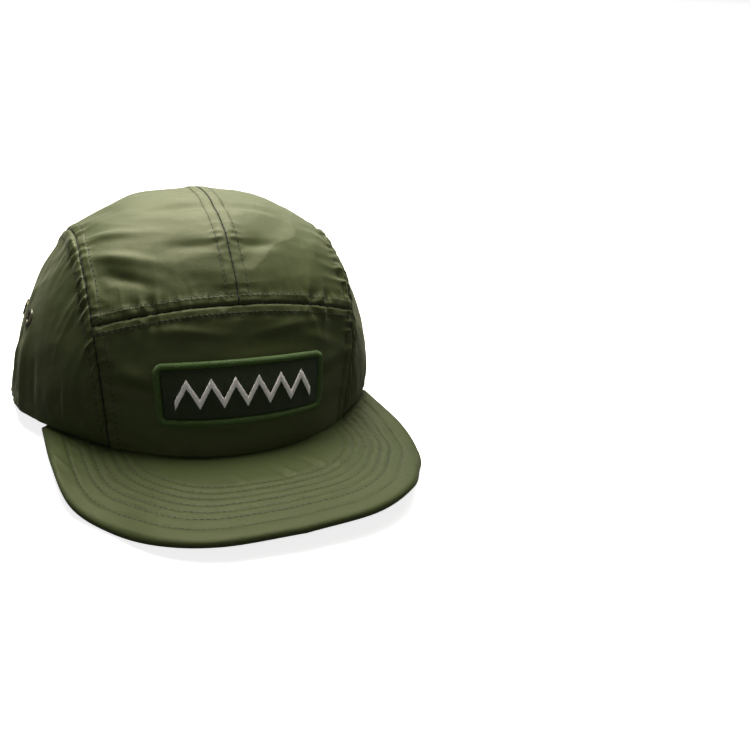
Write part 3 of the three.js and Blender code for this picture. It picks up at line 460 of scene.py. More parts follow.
class Crown:
    """The surface of the crown's cloth. Points are in metres in the row frame."""

    stations = np.linspace(0, 1, 81)

    def __init__(self, crown, seam, opening, peak, patch, eyelet, shift):
        self.crown, self.seams, self.opening, self.peak = crown, seam, opening, peak
        self.patch, self.eyelet, self.shift = patch, eyelet, shift
        self.middle_y = (self.middle_line(0.0)[1] + self.middle_line(1.0)[1]) / 2
        s = self.stations
        self.middle_run = run_of(self.middle_line(s))
        self.seam_run = run_of(self.seam_line(s))
        self.hem_run = run_of(self.side_hem(s))
        self.side_tall = np.linalg.norm(self.side_hem(s) - self.seam_line(s), axis=1)
        u = np.linspace(0, 1, 41)
        self.half_length = np.array([run_of(self.belt(np.full(41, k), u))[-1] for k in s])
        self.front_s_run = np.linalg.norm(self.middle_line(0.0) - self.middle_line(0.125)) / 0.125
        self.nape_s_run = np.linalg.norm(self.middle_line(0.9) - self.middle_line(1.0)) / 0.1
        self.front_u_run = np.interp(0.1, s, self.half_length)
        self.nape_u_run = self.half_length[-1]
        self.eyelets = [
            (name, hand_name, hand, *self.eyelet_frame(s, t, hand))
            for hand_name, hand in hands for name, s, t in eyelet_places
        ]

    def middle_line(self, s):
        y = along_rows(crown_sections, "mid_y", s) * self.crown.long + self.shift
        return points(0, y, along_rows(crown_sections, "mid_z", s) * self.crown.tall)

    def seam_line(self, s):
        return points(
            along_rows(crown_sections, "seam_x", s) * self.crown.seam_spread,
            along_rows(crown_sections, "seam_y", s) * self.crown.long + self.shift,
            along_rows(crown_sections, "seam_z", s) * self.crown.tall,
        )

    def side_hem(self, s):
        s = np.asarray(s, float)[..., None]
        first, last = self.seam_line(0.0), self.seam_line(1.0)
        one, two = (
            np.array((
                x * self.crown.half_wide, y * self.crown.long + self.shift, z * self.crown.tall,
            ))
            for x, y, z in hem_handles
        )
        r = 1 - s
        return first * r ** 3 + 3 * one * s * r ** 2 + 3 * two * s ** 2 * r + last * s ** 3

    def belt(self, s, u):
        """Front and top panels without folds, u from seam to seam."""
        full = self.crown.fullness
        middle, seam = self.middle_line(s), self.seam_line(s)
        drop = (1 - np.cos(full * u)) / (1 - math.cos(full))
        place = middle + (seam - middle) * drop[..., None]
        place[..., 0] = seam[..., 0] * np.sin(full * u) / math.sin(full)
        return place

    def side(self, s, t):
        """A side panel without folds on the +X hand, t from the seam to the hem."""
        seam, hem = self.seam_line(s), self.side_hem(s)
        tall = np.linalg.norm(seam - hem, axis=-1)
        tall = np.minimum(tall / (self.crown.side_tall_share * self.crown.tall), 1.2)
        swell = self.crown.side_belly * np.sin(math.pi * t) * tall
        place = seam + (hem - seam) * t[..., None]
        place[..., 0] += swell
        place[..., 2] += 0.3 * swell
        return place

    def outward(self, place):
        """The direction in which the cloth has its thickness."""
        return unit(points(
            place[..., 0] / self.crown.half_wide ** 2,
            4 * (place[..., 1] - self.middle_y) / self.crown.long ** 2,
            np.maximum(place[..., 2], 0) / self.crown.tall ** 2,
        ))

    def raised(self, place, height):
        return place + self.outward(place) * np.asarray(height)[..., None]

    def fold_relief(self, folds, s, t, t_run, held, hand):
        relief = np.zeros(np.broadcast(s, t).shape)
        s_run = self.middle_run[-1]
        for k in range(len(folds["s"])):
            if folds["hand"][k] not in (0, hand):
                continue
            turn = math.radians(folds["turn"][k])
            ds = (s - folds["s"][k]) * s_run / self.crown.tall
            dt = (t - folds["t"][k]) * t_run / self.crown.tall
            lengthwise = (ds * math.cos(turn) + dt * math.sin(turn)) / (0.5 * folds["run"][k])
            across = (dt * math.cos(turn) - ds * math.sin(turn)) / folds["spread"][k]
            relief += folds["depth"][k] * bell(lengthwise) * bell(across)
        return self.crown.fold_depth * relief * np.minimum(1, 5 * held)

    def beside_seam(self, distance, along, seed, strength=1.0, deep=1.0):
        """Height of the cloth beside a seam, with its ditch, allowance, thread row and puckers."""
        z = self.seams
        ditch = -deep * z.ditch_depth * bell(distance / z.ditch_width)
        pad = z.pad * (1 - smooth(distance, z.row, z.row + 2 * z.row_width))
        row = -z.row_depth * bell((distance - z.row) / z.row_width)
        # Short puckers between ditch and row, and longer ones that fade beyond it
        near = creased(along / z.pucker_pitch, distance / z.pucker_reach, seed)
        near = near * bell((distance - 0.55 * z.row) / (0.75 * z.row))
        far = creased(
            along / (1.7 * z.pucker_pitch) + 0.4 * noise(along / 0.02, distance / 0.02, seed + 1),
            distance / (3 * z.pucker_reach), seed + 2,
        )
        far = far * np.exp(-distance / z.pucker_reach) * smooth(distance, 0, z.row)
        patchy = 0.35 + np.abs(noise(along / 0.03, 0 * distance, seed + 3)) * 2
        return ditch + pad + row + z.pucker * strength * patchy * (1.3 * near + 1.2 * far)

    def crumple(self, across, along, seed):
        z = self.seams
        first = noise(across / z.crumple_run, along / (0.7 * z.crumple_run), seed)
        second = creased(
            across / (1.6 * z.crumple_run) + 0.5 * first, along / z.crumple_run, seed + 1,
        )
        third = noise(across / (0.3 * z.crumple_run), along / (0.24 * z.crumple_run), seed + 2)
        return z.crumple * (first + 0.6 * second + 0.16 * third)

    def arch_place(self, turn, wider):
        """The arch of the rear opening, or of its casing where wider is the casing's width."""
        across, up = np.abs(np.sin(turn)), np.abs(np.cos(turn))
        n = self.opening.squareness
        r = (across ** n + up ** n) ** (-1 / n)
        s = 1 - (self.opening.tall + wider) / self.nape_s_run * up * r
        return s, (self.opening.half_wide + wider) / self.nape_u_run * across * r

    def arch_distance(self, s, u):
        """Distance from the casing's outer edge, and the turn on the arch."""
        across = np.abs(u) * self.nape_u_run / (self.opening.half_wide + self.opening.casing)
        up = (1 - s) * self.nape_s_run / (self.opening.tall + self.opening.casing)
        n = self.opening.squareness
        around = (across ** n + np.maximum(up, 0) ** n) ** (1 / n)
        scale = 0.5 * (self.opening.half_wide + self.opening.tall) + self.opening.casing
        return (around - 1) * scale, np.arctan2(across, np.maximum(up, 1e-6))

    def gathers(self, turn, hand):
        """The broad gathers of the casing and the fine ones between them."""
        o = self.opening
        still = np.abs(np.sin(2 * turn)) ** 0.25
        broad = o.gather_depth * np.cos(4 * o.gather_pairs * turn) * still
        place = turn * (o.half_wide + o.tall) / 2 * 1.25
        fine = creased(place / o.fine_pitch, 0.4 + 0 * turn, 31 + hand)
        return broad, o.fine_depth * fine

    def belt_heights(self, s, u):
        """The soft and the sharp part of the relief of the front and top panels."""
        c = self.crown
        hand = np.where(u < 0, -1, 1)
        out = np.abs(u)
        half = np.interp(s, self.stations, self.half_length)
        middle_run = np.interp(s, self.stations, self.middle_run)
        seam_run = np.interp(s, self.stations, self.seam_run)
        along = lerp(middle_run, seam_run, out ** 2)
        cut = np.interp(c.front_share, self.stations, self.middle_run)
        cut_seam = np.interp(c.front_share, self.stations, self.seam_run)
        from_front = np.abs(along - lerp(cut, cut_seam, out ** 2))
        held = np.sin(math.pi * np.clip(s, 0, 1)) * (1 - out)
        soft = np.where(
            hand < 0,
            self.fold_relief(belt_folds, s, out, self.front_u_run, held, -1),
            self.fold_relief(belt_folds, s, out, self.front_u_run, held, 1),
        )
        across = u * half
        is_top = s > c.front_share
        from_seam = (1 - out) * half
        sharp = np.where(hand < 0, self.beside_seam(from_seam, seam_run, 41),
                         self.beside_seam(from_seam, seam_run, 57))
        sharp += self.beside_seam(from_front, across, 71, 0.9)
        centre = self.beside_seam(out * half, middle_run, 91, 0.35, 0.4)
        sharp += np.where(is_top, centre, 0)
        sharp += self.crumple(across, along, 101)
        # Small creases along the hem over the peak
        hem = creased(across / 0.011, along / 0.02, 111) * np.exp(-along / 0.008)
        sharp += 0.5 * self.seams.pucker * hem
        beside_arch, turn = self.arch_distance(s, u)
        broad, fine = self.gathers(turn, 0)
        reach = self.opening.gather_reach
        fade = bell(np.maximum(beside_arch, 0) / reach)
        soft = soft + np.where(is_top, broad * fade, 0)
        fade = np.exp(-np.maximum(beside_arch, 0) / (0.5 * reach))
        sharp += np.where(is_top, 1.3 * fine * fade, 0)
        # Flat under the patch
        x = across
        y = s * self.front_s_run - self.patch.rise
        under = (1 - smooth(np.abs(x) - self.patch.wide / 2, -0.001, 0.006)) * (
            1 - smooth(np.abs(y - self.patch.tall / 2) - self.patch.tall / 2, -0.001, 0.006))
        sharp = sharp * (1 - 0.85 * under)
        return soft, np.maximum(sharp, -0.75 * c.wall)

    def belt_cloth(self, s, u):
        soft, sharp = self.belt_heights(s, u)
        return self.raised(self.belt(s, u), soft + sharp)

    def side_heights(self, s, t, hand):
        c = self.crown
        tall = np.interp(s, self.stations, self.side_tall)
        seam_run = np.interp(s, self.stations, self.seam_run)
        hem_run = np.interp(s, self.stations, self.hem_run)
        along = lerp(seam_run, hem_run, t)
        held = np.sin(math.pi * np.clip(s, 0, 1)) * t
        t_run = c.side_tall_share * c.tall
        soft = self.fold_relief(side_folds, s, t, t_run, held, hand)
        sharp = self.beside_seam(t * tall, seam_run, 131 + 10 * hand, 1.25)
        sharp += self.crumple(t * tall, along, 151 + 10 * hand)
        from_hem = (1 - t) * tall
        hem = creased(along / 0.0075, from_hem / 0.02, 171 + hand) * np.exp(-from_hem / 0.006)
        sharp += 0.6 * self.seams.pucker * hem
        return soft, np.maximum(sharp, -0.75 * c.wall)

    def plain_side(self, s, t, hand):
        """A side panel with the folds that both hands share."""
        held = np.sin(math.pi * np.clip(s, 0, 1)) * t
        t_run = self.crown.side_tall_share * self.crown.tall
        soft = self.fold_relief(side_folds, s, t, t_run, held, 0)
        place = self.raised(self.side(s, t), soft)
        place[..., 0] *= hand
        return place

    def eyelet_frame(self, s, t, hand):
        """Middle and direction of an eyelet."""
        step = 0.01
        near = self.plain_side(np.array([s, s + step, s]), np.array([t, t, t + step]), hand)
        normal = unit(np.cross(near[1] - near[0], near[2] - near[0]))
        return near[0], normal * np.sign(normal[0]) * hand

    def side_cloth(self, s, t, hand):
        soft, sharp = self.side_heights(s, t, hand)
        # The peak's seam keeps the hem flat
        from_hem = (1 - t) * np.interp(s, self.stations, self.side_tall)
        sewn = 1 - smooth(s, self.peak.side_share, self.peak.side_share + 0.05)
        free = 1 - sewn * (1 - smooth(from_hem, 0, 0.007))
        soft, sharp = soft * free, sharp * free
        place = self.side(s, t)
        base = self.raised(place, soft) * (hand, 1, 1)
        plain = self.plain_side(s, t, hand)
        for _, _, at_hand, middle, _ in self.eyelets:
            if at_hand != hand:
                continue
            away = np.linalg.norm(base - middle, axis=-1)
            flat = 1 - smooth(away, 1.1 * self.eyelet.radius, 3 * self.eyelet.radius)
            sharp = sharp * (1 - flat) - self.eyelet.dent * flat
            base = lerp(base, plain, flat[..., None])
        return self.raised(base, sharp), base

    def hem_over_peak(self, share):
        """The hem over the peak, share 0 in the middle and 1 at the peak's sewn end."""
        front = self.half_length[0]
        end = np.linalg.norm(self.side_hem(0.0) - self.side_hem(self.peak.side_share))
        part = front / (front + end)
        on_front = self.belt(0 * share, np.minimum(share / part, 1))
        s = np.maximum(share - part, 0) / (1 - part) * self.peak.side_share
        return np.where((share <= part)[..., None], on_front, self.side_hem(s))

    def peak_edge(self, share, hand_name):
        end = self.hem_over_peak(np.array(1.0))
        p = self.peak
        rows = {
            "x": peak_sections["x"] * p.half_wide,
            "y": self.middle_line(0.0)[1] - peak_sections["reach"] * p.reach,
            "z": peak_sections[hand_name] * p.lift,
        }
        last = (end[0] + p.end_proud, end[1], end[2] - self.crown.seat_gap - p.thick)
        rows = {k: np.append(v, last["xyz".index(k)]) for k, v in rows.items()}
        x, y, z = (along_rows(rows, k, share) for k in "xyz")
        return points(x, y, np.maximum(z, 0))

    def peak_lines(self, across):
        """Seat and top edge of the peak for places from -1 on the right to 1 on the left."""
        share = np.abs(across)
        hand = np.where(across < 0, -1.0, 1.0)
        hem = self.hem_over_peak(share)
        flat = self.outward(hem) * (1, 1, 0)
        flat = unit(flat)
        top = hem - (0, 0, self.crown.seat_gap)
        inside = top - flat * self.crown.wall
        seat = top + flat * self.peak.seat
        edge = np.where(
            (across < 0)[..., None], self.peak_edge(share, "right"), self.peak_edge(share, "left"),
        ) + (0, 0, self.peak.thick)
        for line in (inside, seat, edge):
            line[..., 0] *= hand
        return inside, seat, edge


def crown_of(context):
    """The crown that the scene's sizes describe, set at the packed part's place."""
    scene = context.scene
    peak_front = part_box("peak")[0].y
    sections = crown_sections["mid_y"][0] * scene.cap_crown.long
    shift = peak_front - (sections - scene.cap_peak.reach)
    return Crown(
        scene.cap_crown, scene.cap_seam, scene.cap_opening, scene.cap_peak,
        scene.cap_patch, scene.cap_eyelet, shift,
    )


def graded(length, fine, coarse, first=0.008, last=0.008):
    """Shares from 0 to 1 that are fine near both ends and coarse between them."""
    places = [0.0]
    while places[-1] < length:
        x = places[-1]
        ease = min(smooth(x, 0.5 * first, 2 * first), smooth(length - x, 0.5 * last, 2 * last))
        places.append(x + lerp(fine, coarse, ease))
    return np.array(places) / places[-1]


def mesh_object(name, vertices, faces, uv=None, values=None, sharp_deg=50):
    """A smooth mesh object with faces out, the UV map "cloth" and named vertex values."""
    vertices = np.asarray(vertices, float).reshape(-1, 3)
    used, where = np.unique(np.concatenate([np.ravel(f) for f in faces]), return_inverse=True)
    faces = [list(f) for f in np.split(where, np.cumsum([len(f) for f in faces])[:-1])]
    a = vertices[used]
    volume = 0.0
    for f in faces[::max(1, len(faces) // 20000)]:
        for k in range(1, len(f) - 1):
            volume += np.dot(a[f[0]] - a[0], np.cross(a[f[k]] - a[0], a[f[k + 1]] - a[0]))
    if volume < 0:
        faces = [f[::-1] for f in faces]
    mesh = bpy.data.meshes.new(name)
    mesh.from_pydata(a.tolist(), [], faces)
    corners = np.zeros(len(mesh.loops), int)
    mesh.loops.foreach_get("vertex_index", corners)
    if uv is not None:
        layer = mesh.uv_layers.new(name="cloth")
        layer.data.foreach_set("uv", np.asarray(uv).reshape(-1, 2)[used][corners].ravel())
    for key, value in (values or {}).items():
        kept = np.asarray(value, np.float32).reshape(-1)[used]
        mesh.attributes.new(key, "FLOAT", "POINT").data.foreach_set("value", kept)
    mesh.shade_smooth()
    mesh.set_sharp_from_angle(angle=math.radians(sharp_deg))
    piece = bpy.data.objects.new(name, mesh)
    bpy.context.scene.collection.objects.link(piece)
    return piece


def cloth_solid(name, outer, inner, uv, values=None, skip=None):
    """Closed cloth between two grids of points. Cells marked in skip are left open."""
    m, n = outer.shape[:2]
    at = np.arange(m * n).reshape(m, n)
    keep = np.ones((m - 1, n - 1), bool) if skip is None else ~skip
    wide = np.pad(keep, 1)
    i, j = np.nonzero(keep)
    a, b, c, d = at[i, j], at[i + 1, j], at[i + 1, j + 1], at[i, j + 1]
    k = m * n
    faces = [np.stack([a, b, c, d], 1), np.stack([a, d, c, b], 1) + k]
    for di, dj, p, q in ((0, 1, a, d), (2, 1, c, b), (1, 0, b, a), (1, 2, d, c)):
        edge = ~wide[i + di, j + dj]
        faces.append(np.stack([p[edge], q[edge], q[edge] + k, p[edge] + k], 1))
    faces = np.concatenate(faces)
    both = {key: np.concatenate([v.ravel(), v.ravel()]) for key, v in (values or {}).items()}
    # 1 on the inner faces, which the nylon look paints near black as painted shade
    both.setdefault("inside", np.repeat((0.0, 1.0), k))
    uv = np.concatenate([uv.reshape(-1, 2)] * 2)
    return mesh_object(name, np.concatenate([outer.reshape(-1, 3), inner.reshape(-1, 3)]),
                       faces, uv, both)


def tube_solid(name, rings, is_loop=False, uv=None, sharp_deg=50):
    """A closed solid from rings of points round a path."""
    count_rings, sides = rings.shape[:2]
    at = np.arange(count_rings * sides).reshape(count_rings, sides)
    nxt = np.roll(at, -1, axis=0) if is_loop else at[1:]
    now = at if is_loop else at[:-1]
    quads = np.stack([now, nxt, np.roll(nxt, -1, 1), np.roll(now, -1, 1)], -1).reshape(-1, 4)
    faces = list(quads)
    if not is_loop:
        faces += [at[0], at[-1][::-1]]
    return mesh_object(name, rings, faces, uv, None, sharp_deg)


class Signal:
    """A socket of a node tree. Arithmetic on it adds Math nodes."""

    def __init__(self, tree, socket):
        self.tree, self.socket = tree, socket

    def of(self, name):
        return Signal(self.tree, self.socket.node.outputs[name])

    def math(self, operation, *values):
        return self.tree.node("ShaderNodeMath", {"operation": operation}, dict(enumerate(values)))

    def __add__(self, other):
        return self.math("ADD", self, other)

    __radd__ = __add__

    def __sub__(self, other):
        return self.math("SUBTRACT", self, other)

    def __rsub__(self, other):
        return self.math("SUBTRACT", other, self)

    def __mul__(self, other):
        return self.math("MULTIPLY", self, other)

    __rmul__ = __mul__

    def __truediv__(self, other):
        return self.math("DIVIDE", self, other)

    def sine(self):
        return self.math("SINE", self)

    def power(self, exponent):
        return self.math("POWER", self, exponent)


class Tree:
    """Makes the nodes of a node tree."""

    def __init__(self, tree):
        self.tree = tree

    def node(self, kind, settings=None, inputs=None, output=0):
        node = self.tree.nodes.new(kind)
        for name, value in (settings or {}).items():
            if name == "stops":
                ramp = node.color_ramp
                while len(ramp.elements) < len(value):
                    ramp.elements.new(0.5)
                for element, (place, shade) in zip(ramp.elements, value):
                    element.position, element.color = place, shade
            else:
                setattr(node, name, value)
        for key, value in (inputs or {}).items():
            if isinstance(value, Signal):
                self.tree.links.new(value.socket, node.inputs[key])
            else:
                node.inputs[key].default_value = value
        return Signal(self, node.outputs[output]) if node.outputs else node


class Look(Tree):
    """A material's node tree."""

    def __init__(self, name):
        # The frame has materials of its own, with the names of the record's slots
        self.material = bpy.data.materials.new(f"cap_{name}")
        self.material.use_nodes = True
        super().__init__(self.material.node_tree)
        self.tree.nodes.clear()

    def object_place(self):
        return self.node("ShaderNodeTexCoord", output="Object")

    def cloth_place(self):
        """The two directions of the cloth, 1 for each centimetre."""
        place = self.node("ShaderNodeUVMap", {"uv_map": "cloth"})
        split = self.node("ShaderNodeSeparateXYZ", inputs={0: place})
        return place, split, split.of("Y")

    def value_of(self, name):
        return self.node("ShaderNodeAttribute", {"attribute_name": name}, output="Fac")

    def grain(self, place, scale, detail=3.0, roughness=0.5):
        return self.node("ShaderNodeTexNoise", inputs={
            "Vector": place, "Scale": scale, "Detail": detail, "Roughness": roughness,
        })

    def mixed(self, factor, first, second):
        return self.node("ShaderNodeMix", {"data_type": "RGBA", "clamp_factor": True},
                         {0: factor, 6: first, 7: second}, output=2)

    def bump(self, height, distance, strength=1.0):
        return self.node("ShaderNodeBump", inputs={
            "Height": height, "Distance": distance, "Strength": strength,
        })

    def finish(self, inputs):
        shader = self.node("ShaderNodeBsdfPrincipled", inputs=inputs)
        self.node("ShaderNodeOutputMaterial", inputs={"Surface": shader})
        return self.material


def darker(shade, factor):
    return (*(factor * c for c in shade[:3]), 1)


def nylon_look(colours, name="nylon", cloth=None, sheen=0.15, shine=0.42):
    look = Look(name)
    cloth = cloth or colours.nylon
    place, x, y = look.cloth_place()
    body = look.object_place()
    turns = 2 * math.pi / 0.042
    weave = (x * turns).sine() * (y * turns).sine()
    broad = look.grain(body, 55)
    fine = look.grain(body, 900, 2)
    slub = look.node("ShaderNodeTexNoise", {"noise_dimensions": "2D"}, {
        "Vector": look.node("ShaderNodeMapping", {"vector_type": "POINT"},
                            {"Vector": place, "Scale": (0.6, 22, 1)}), "Scale": 1.0,
    })
    shade = look.mixed(broad * 0.6 + slub * 0.25, darker(cloth, 0.8), darker(cloth, 1.14))
    # Inner faces painted near black: painted shade inside the crown
    shade = look.mixed(look.value_of("inside"), shade, tuple(colours.inside_shade))
    height = weave * 0.22 + fine * 0.8 + look.grain(body, 260, 3) * 1.6
    return look.finish({
        "Base Color": shade,
        "Roughness": 0.53 + fine * 0.12 + look.value_of("inside") * 0.3,
        "Normal": look.bump(height, 0.0001, 0.55),
        "Sheen Weight": sheen,
        "Sheen Roughness": 0.35,
        "Sheen Tint": (1, 1, 0.72, 1),
        "Specular IOR Level": shine,
        "Specular Tint": (1, 0.98, 0.66, 1),
    })


def thread_look(name, shade, roughness=0.55):
    look = Look(name)
    body = look.object_place()
    fibre = look.grain(body, 2600, 2)
    broad = look.grain(body, 120, 1)
    colour_mix = look.mixed(fibre * 0.7 + broad * 0.3, darker(shade, 0.7), darker(shade, 1.25))
    return look.finish({
        "Base Color": colour_mix,
        "Roughness": roughness + fibre * 0.15,
        "Normal": look.bump(fibre, 0.00008, 0.6),
        "Sheen Weight": 0.05,
    })


def twill_look(colours):
    look = Look("twill")
    place, x, y = look.cloth_place()
    diagonal = ((x + y) * (2 * math.pi / 0.075)).sine()
    cross = ((x - y) * (2 * math.pi / 0.04)).sine()
    fibre = look.grain(look.object_place(), 1500, 2)
    shade = look.mixed(diagonal * 0.35 + fibre * 0.6, darker(colours.twill, 0.62),
                       darker(colours.twill, 1.5))
    return look.finish({
        "Base Color": shade,
        "Roughness": 0.78 + fibre * 0.15,
        "Normal": look.bump(diagonal * 0.6 + cross * 0.25 + fibre * 0.4, 0.00012, 0.8),
        "Sheen Weight": 0.06,
    })


def webbing_look(name, shade):
    look = Look(name)
    place, x, y = look.cloth_place()
    ribs = (x * (2 * math.pi / 0.12)).sine()
    yarns = (y * (2 * math.pi / 0.08)).sine()
    fibre = look.grain(look.object_place(), 1300, 2)
    tint = look.mixed(ribs * 0.25 + yarns * 0.15 + fibre * 0.7, darker(shade, 0.5),
                      darker(shade, 1.8))
    return look.finish({
        "Base Color": tint,
        "Roughness": 0.58 + fibre * 0.2,
        "Normal": look.bump(ribs * 0.35 + yarns * 0.4 + fibre * 0.5, 0.00012, 0.7),
        "Sheen Weight": 0.25,
        "Sheen Roughness": 0.5,
    })


def plastic_look(colours):
    look = Look("plastic")
    body = look.object_place()
    grain = look.grain(body, 1800, 2)
    scuffs = look.grain(body, 90, 4)
    return look.finish({
        "Base Color": look.mixed(scuffs, darker(colours.plastic, 0.8), darker(colours.plastic, 1.6)),
        "Roughness": 0.26 + scuffs * 0.16,
        "Normal": look.bump(grain, 0.00006, 0.35),
    })


def metal_look(colours):
    look = Look("eyelet_metal")
    body = look.object_place()
    worn = look.grain(body, 420, 4)
    return look.finish({
        "Base Color": look.mixed(worn, darker(colours.eyelet, 0.6), darker(colours.eyelet, 1.25)),
        "Metallic": 1.0,
        "Roughness": 0.24 + worn * 0.25,
        "Normal": look.bump(worn, 0.00005, 0.3),
    })


def floor_look(colours):
    look = Look("floor")
    body = look.object_place()
    haze = look.grain(body, 3, 2)
    return look.finish({
        "Base Color": look.mixed(haze, darker(colours.floor, 0.98), tuple(colours.floor)),
        "Roughness": 0.7 + haze * 0.1,
        "Emission Color": (1, 1, 1, 1),
        "Emission Strength": 0.8,
    })


look_makers = {
    "nylon": nylon_look,
    # The peak's cloth is glued to its stiff board and has less sheen and shine; its darker colour is
    # painted shade, a shaded copy of the crown's nylon
    "peak_nylon_shaded": lambda c: nylon_look(c, "peak_nylon_shaded", c.peak_nylon_shaded, 0.06, 0.24),
    "thread": lambda c: thread_look("thread", c.thread),
    # Near-black beads: painted shade in the needle holes and down in the seam ditches
    "mark": lambda c: thread_look("mark", c.mark, 0.8),
    "border_thread": lambda c: thread_look("border_thread", c.border, 0.5),
    "motif_thread": lambda c: thread_look("motif_thread", c.motif, 0.45),
    "twill": twill_look,
    "webbing": lambda c: webbing_look("webbing", c.webbing),
    "band": lambda c: webbing_look("band", c.band),
    "plastic": plastic_look,
    "eyelet_metal": metal_look,
    "floor": floor_look,
}


def look_of(name, context):
    """The material of that name, made when it is first asked for."""
    made = bpy.data.materials.get(f"cap_{name}")
    return made or look_makers[name](context.scene.cap_colours)


def set_look(piece, name, context):
    piece.data.materials.clear()
    piece.data.materials.append(look_of(name, context))


def put(piece, look, slot, context, *nodes):
    """Gives a finished piece its material, its body and the nodes that it stands for."""
    set_look(piece, look, context)
    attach(piece, "root")
    if nodes:
        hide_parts(*nodes)
    return piece


def line_object(name, lines):
    """Rows of edges that carry the directions out of the cloth and along the thread."""
    vertices = np.concatenate([line["places"] for line in lines])
    out = np.concatenate([line["out"] for line in lines])
    way = np.concatenate([line["way"] for line in lines])
    starts = np.cumsum([0] + [len(line["places"]) for line in lines])
    edges = np.concatenate([
        np.stack([np.arange(a, b - 1), np.arange(a + 1, b)], 1)
        for a, b in zip(starts[:-1], starts[1:])
    ])
    mesh = bpy.data.meshes.new(name)
    mesh.from_pydata(vertices.tolist(), edges.tolist(), [])
    for key, value in (("out", out), ("way", way)):
        data = mesh.attributes.new(key, "FLOAT_VECTOR", "POINT").data
        data.foreach_set("vector", value.astype(np.float32).ravel())
    piece = bpy.data.objects.new(name, mesh)
    bpy.context.scene.collection.objects.link(piece)
    return piece


def row_line(places, out, way=None):
    """One row of thread over points of the cloth, way along the row if not given."""
    if way is None:
        way = unit(np.gradient(places, axis=0))
    return {"places": places, "out": out, "way": way}


def thread_tree(name, is_arch=False):
    """Geometry nodes that set threads along the edges of a mesh.

    A thread is a long bead, or for a border an arch across the row."""
    group = bpy.data.node_groups.new(name, "GeometryNodeTree")
    face = group.interface
    face.new_socket("Geometry", in_out="INPUT", socket_type="NodeSocketGeometry")
    for key in ("Pitch", "Start", "Length", "Width", "Height"):
        face.new_socket(key, in_out="INPUT", socket_type="NodeSocketFloat")
    face.new_socket("Seed", in_out="INPUT", socket_type="NodeSocketInt")
    face.new_socket("Material", in_out="INPUT", socket_type="NodeSocketMaterial")
    face.new_socket("Geometry", in_out="OUTPUT", socket_type="NodeSocketGeometry")
    tree = Tree(group)
    given = tree.node("NodeGroupInput")
    rows = tree.node("GeometryNodeMeshToCurve", inputs={"Mesh": given})
    rows = tree.node("GeometryNodeTrimCurve", {"mode": "LENGTH"}, {
        "Curve": rows, 4: given.of("Start"), 5: 100.0,
    })
    rows = tree.node("GeometryNodeResampleCurve", {"mode": "LENGTH"}, {
        "Curve": rows, "Length": given.of("Pitch"),
    })
    out = tree.node("GeometryNodeInputNamedAttribute", {"data_type": "FLOAT_VECTOR"},
                    {"Name": "out"})
    way = tree.node("GeometryNodeInputNamedAttribute", {"data_type": "FLOAT_VECTOR"},
                    {"Name": "way"})
    turn = tree.node("FunctionNodeAxesToRotation",
                     {"primary_axis": "Z", "secondary_axis": "X"},
                     {"Primary Axis": out, "Secondary Axis": way})
    if is_arch:
        arc = tree.node("GeometryNodeCurveArc", {"mode": "RADIUS"}, {
            "Resolution": 9, "Radius": 0.5, "Start Angle": 0.0, "Sweep Angle": math.pi,
        })
        ring = tree.node("GeometryNodeCurvePrimitiveCircle", {"mode": "RADIUS"},
                         {"Resolution": 5, "Radius": 0.5})
        ring = tree.node("GeometryNodeTransform", inputs={
            "Geometry": ring,
            "Scale": tree.node("ShaderNodeCombineXYZ", inputs={
                0: given.of("Width") / given.of("Length"), 1: given.of("Width") /
                given.of("Length"), 2: 1.0}),
        })
        thread = tree.node("GeometryNodeCurveToMesh", inputs={
            "Curve": arc, "Profile Curve": ring, "Fill Caps": True,
        })
        thread = tree.node("GeometryNodeTransform", inputs={
            "Geometry": thread, "Rotation": (math.pi / 2, 0, math.radians(78)),
        })
        scale = tree.node("ShaderNodeCombineXYZ", inputs={
            0: given.of("Length"), 1: given.of("Length"), 2: given.of("Height") * 2.0,
        })
    else:
        thread = tree.node("GeometryNodeMeshUVSphere", inputs={
            "Segments": 6, "Rings": 5, "Radius": 0.5,
        })
        thread = tree.node("GeometryNodeTransform", inputs={
            "Geometry": thread, "Rotation": (0, math.pi / 2, 0),
        })
        scale = tree.node("ShaderNodeCombineXYZ", inputs={
            0: given.of("Length"), 1: given.of("Width"), 2: given.of("Height"),
        })
    thread = tree.node("GeometryNodeTransform", inputs={"Geometry": thread, "Scale": scale})
    vary = tree.node("FunctionNodeRandomValue", {"data_type": "FLOAT"}, {
        2: 0.88, 3: 1.06, "Seed": given.of("Seed"),
    }, output=1)
    beads = tree.node("GeometryNodeInstanceOnPoints", inputs={
        "Points": rows, "Instance": thread, "Rotation": turn,
        "Scale": tree.node("ShaderNodeCombineXYZ", inputs={0: vary, 1: 1.0, 2: 1.0}),
    })
    beads = tree.node("GeometryNodeRealizeInstances", inputs={"Geometry": beads})
    beads = tree.node("GeometryNodeSetShadeSmooth", inputs={"Geometry": beads})
    beads = tree.node("GeometryNodeSetMaterial", inputs={
        "Geometry": beads, "Material": given.of("Material"),
    })
    tree.node("NodeGroupOutput", inputs={"Geometry": beads})
    return group


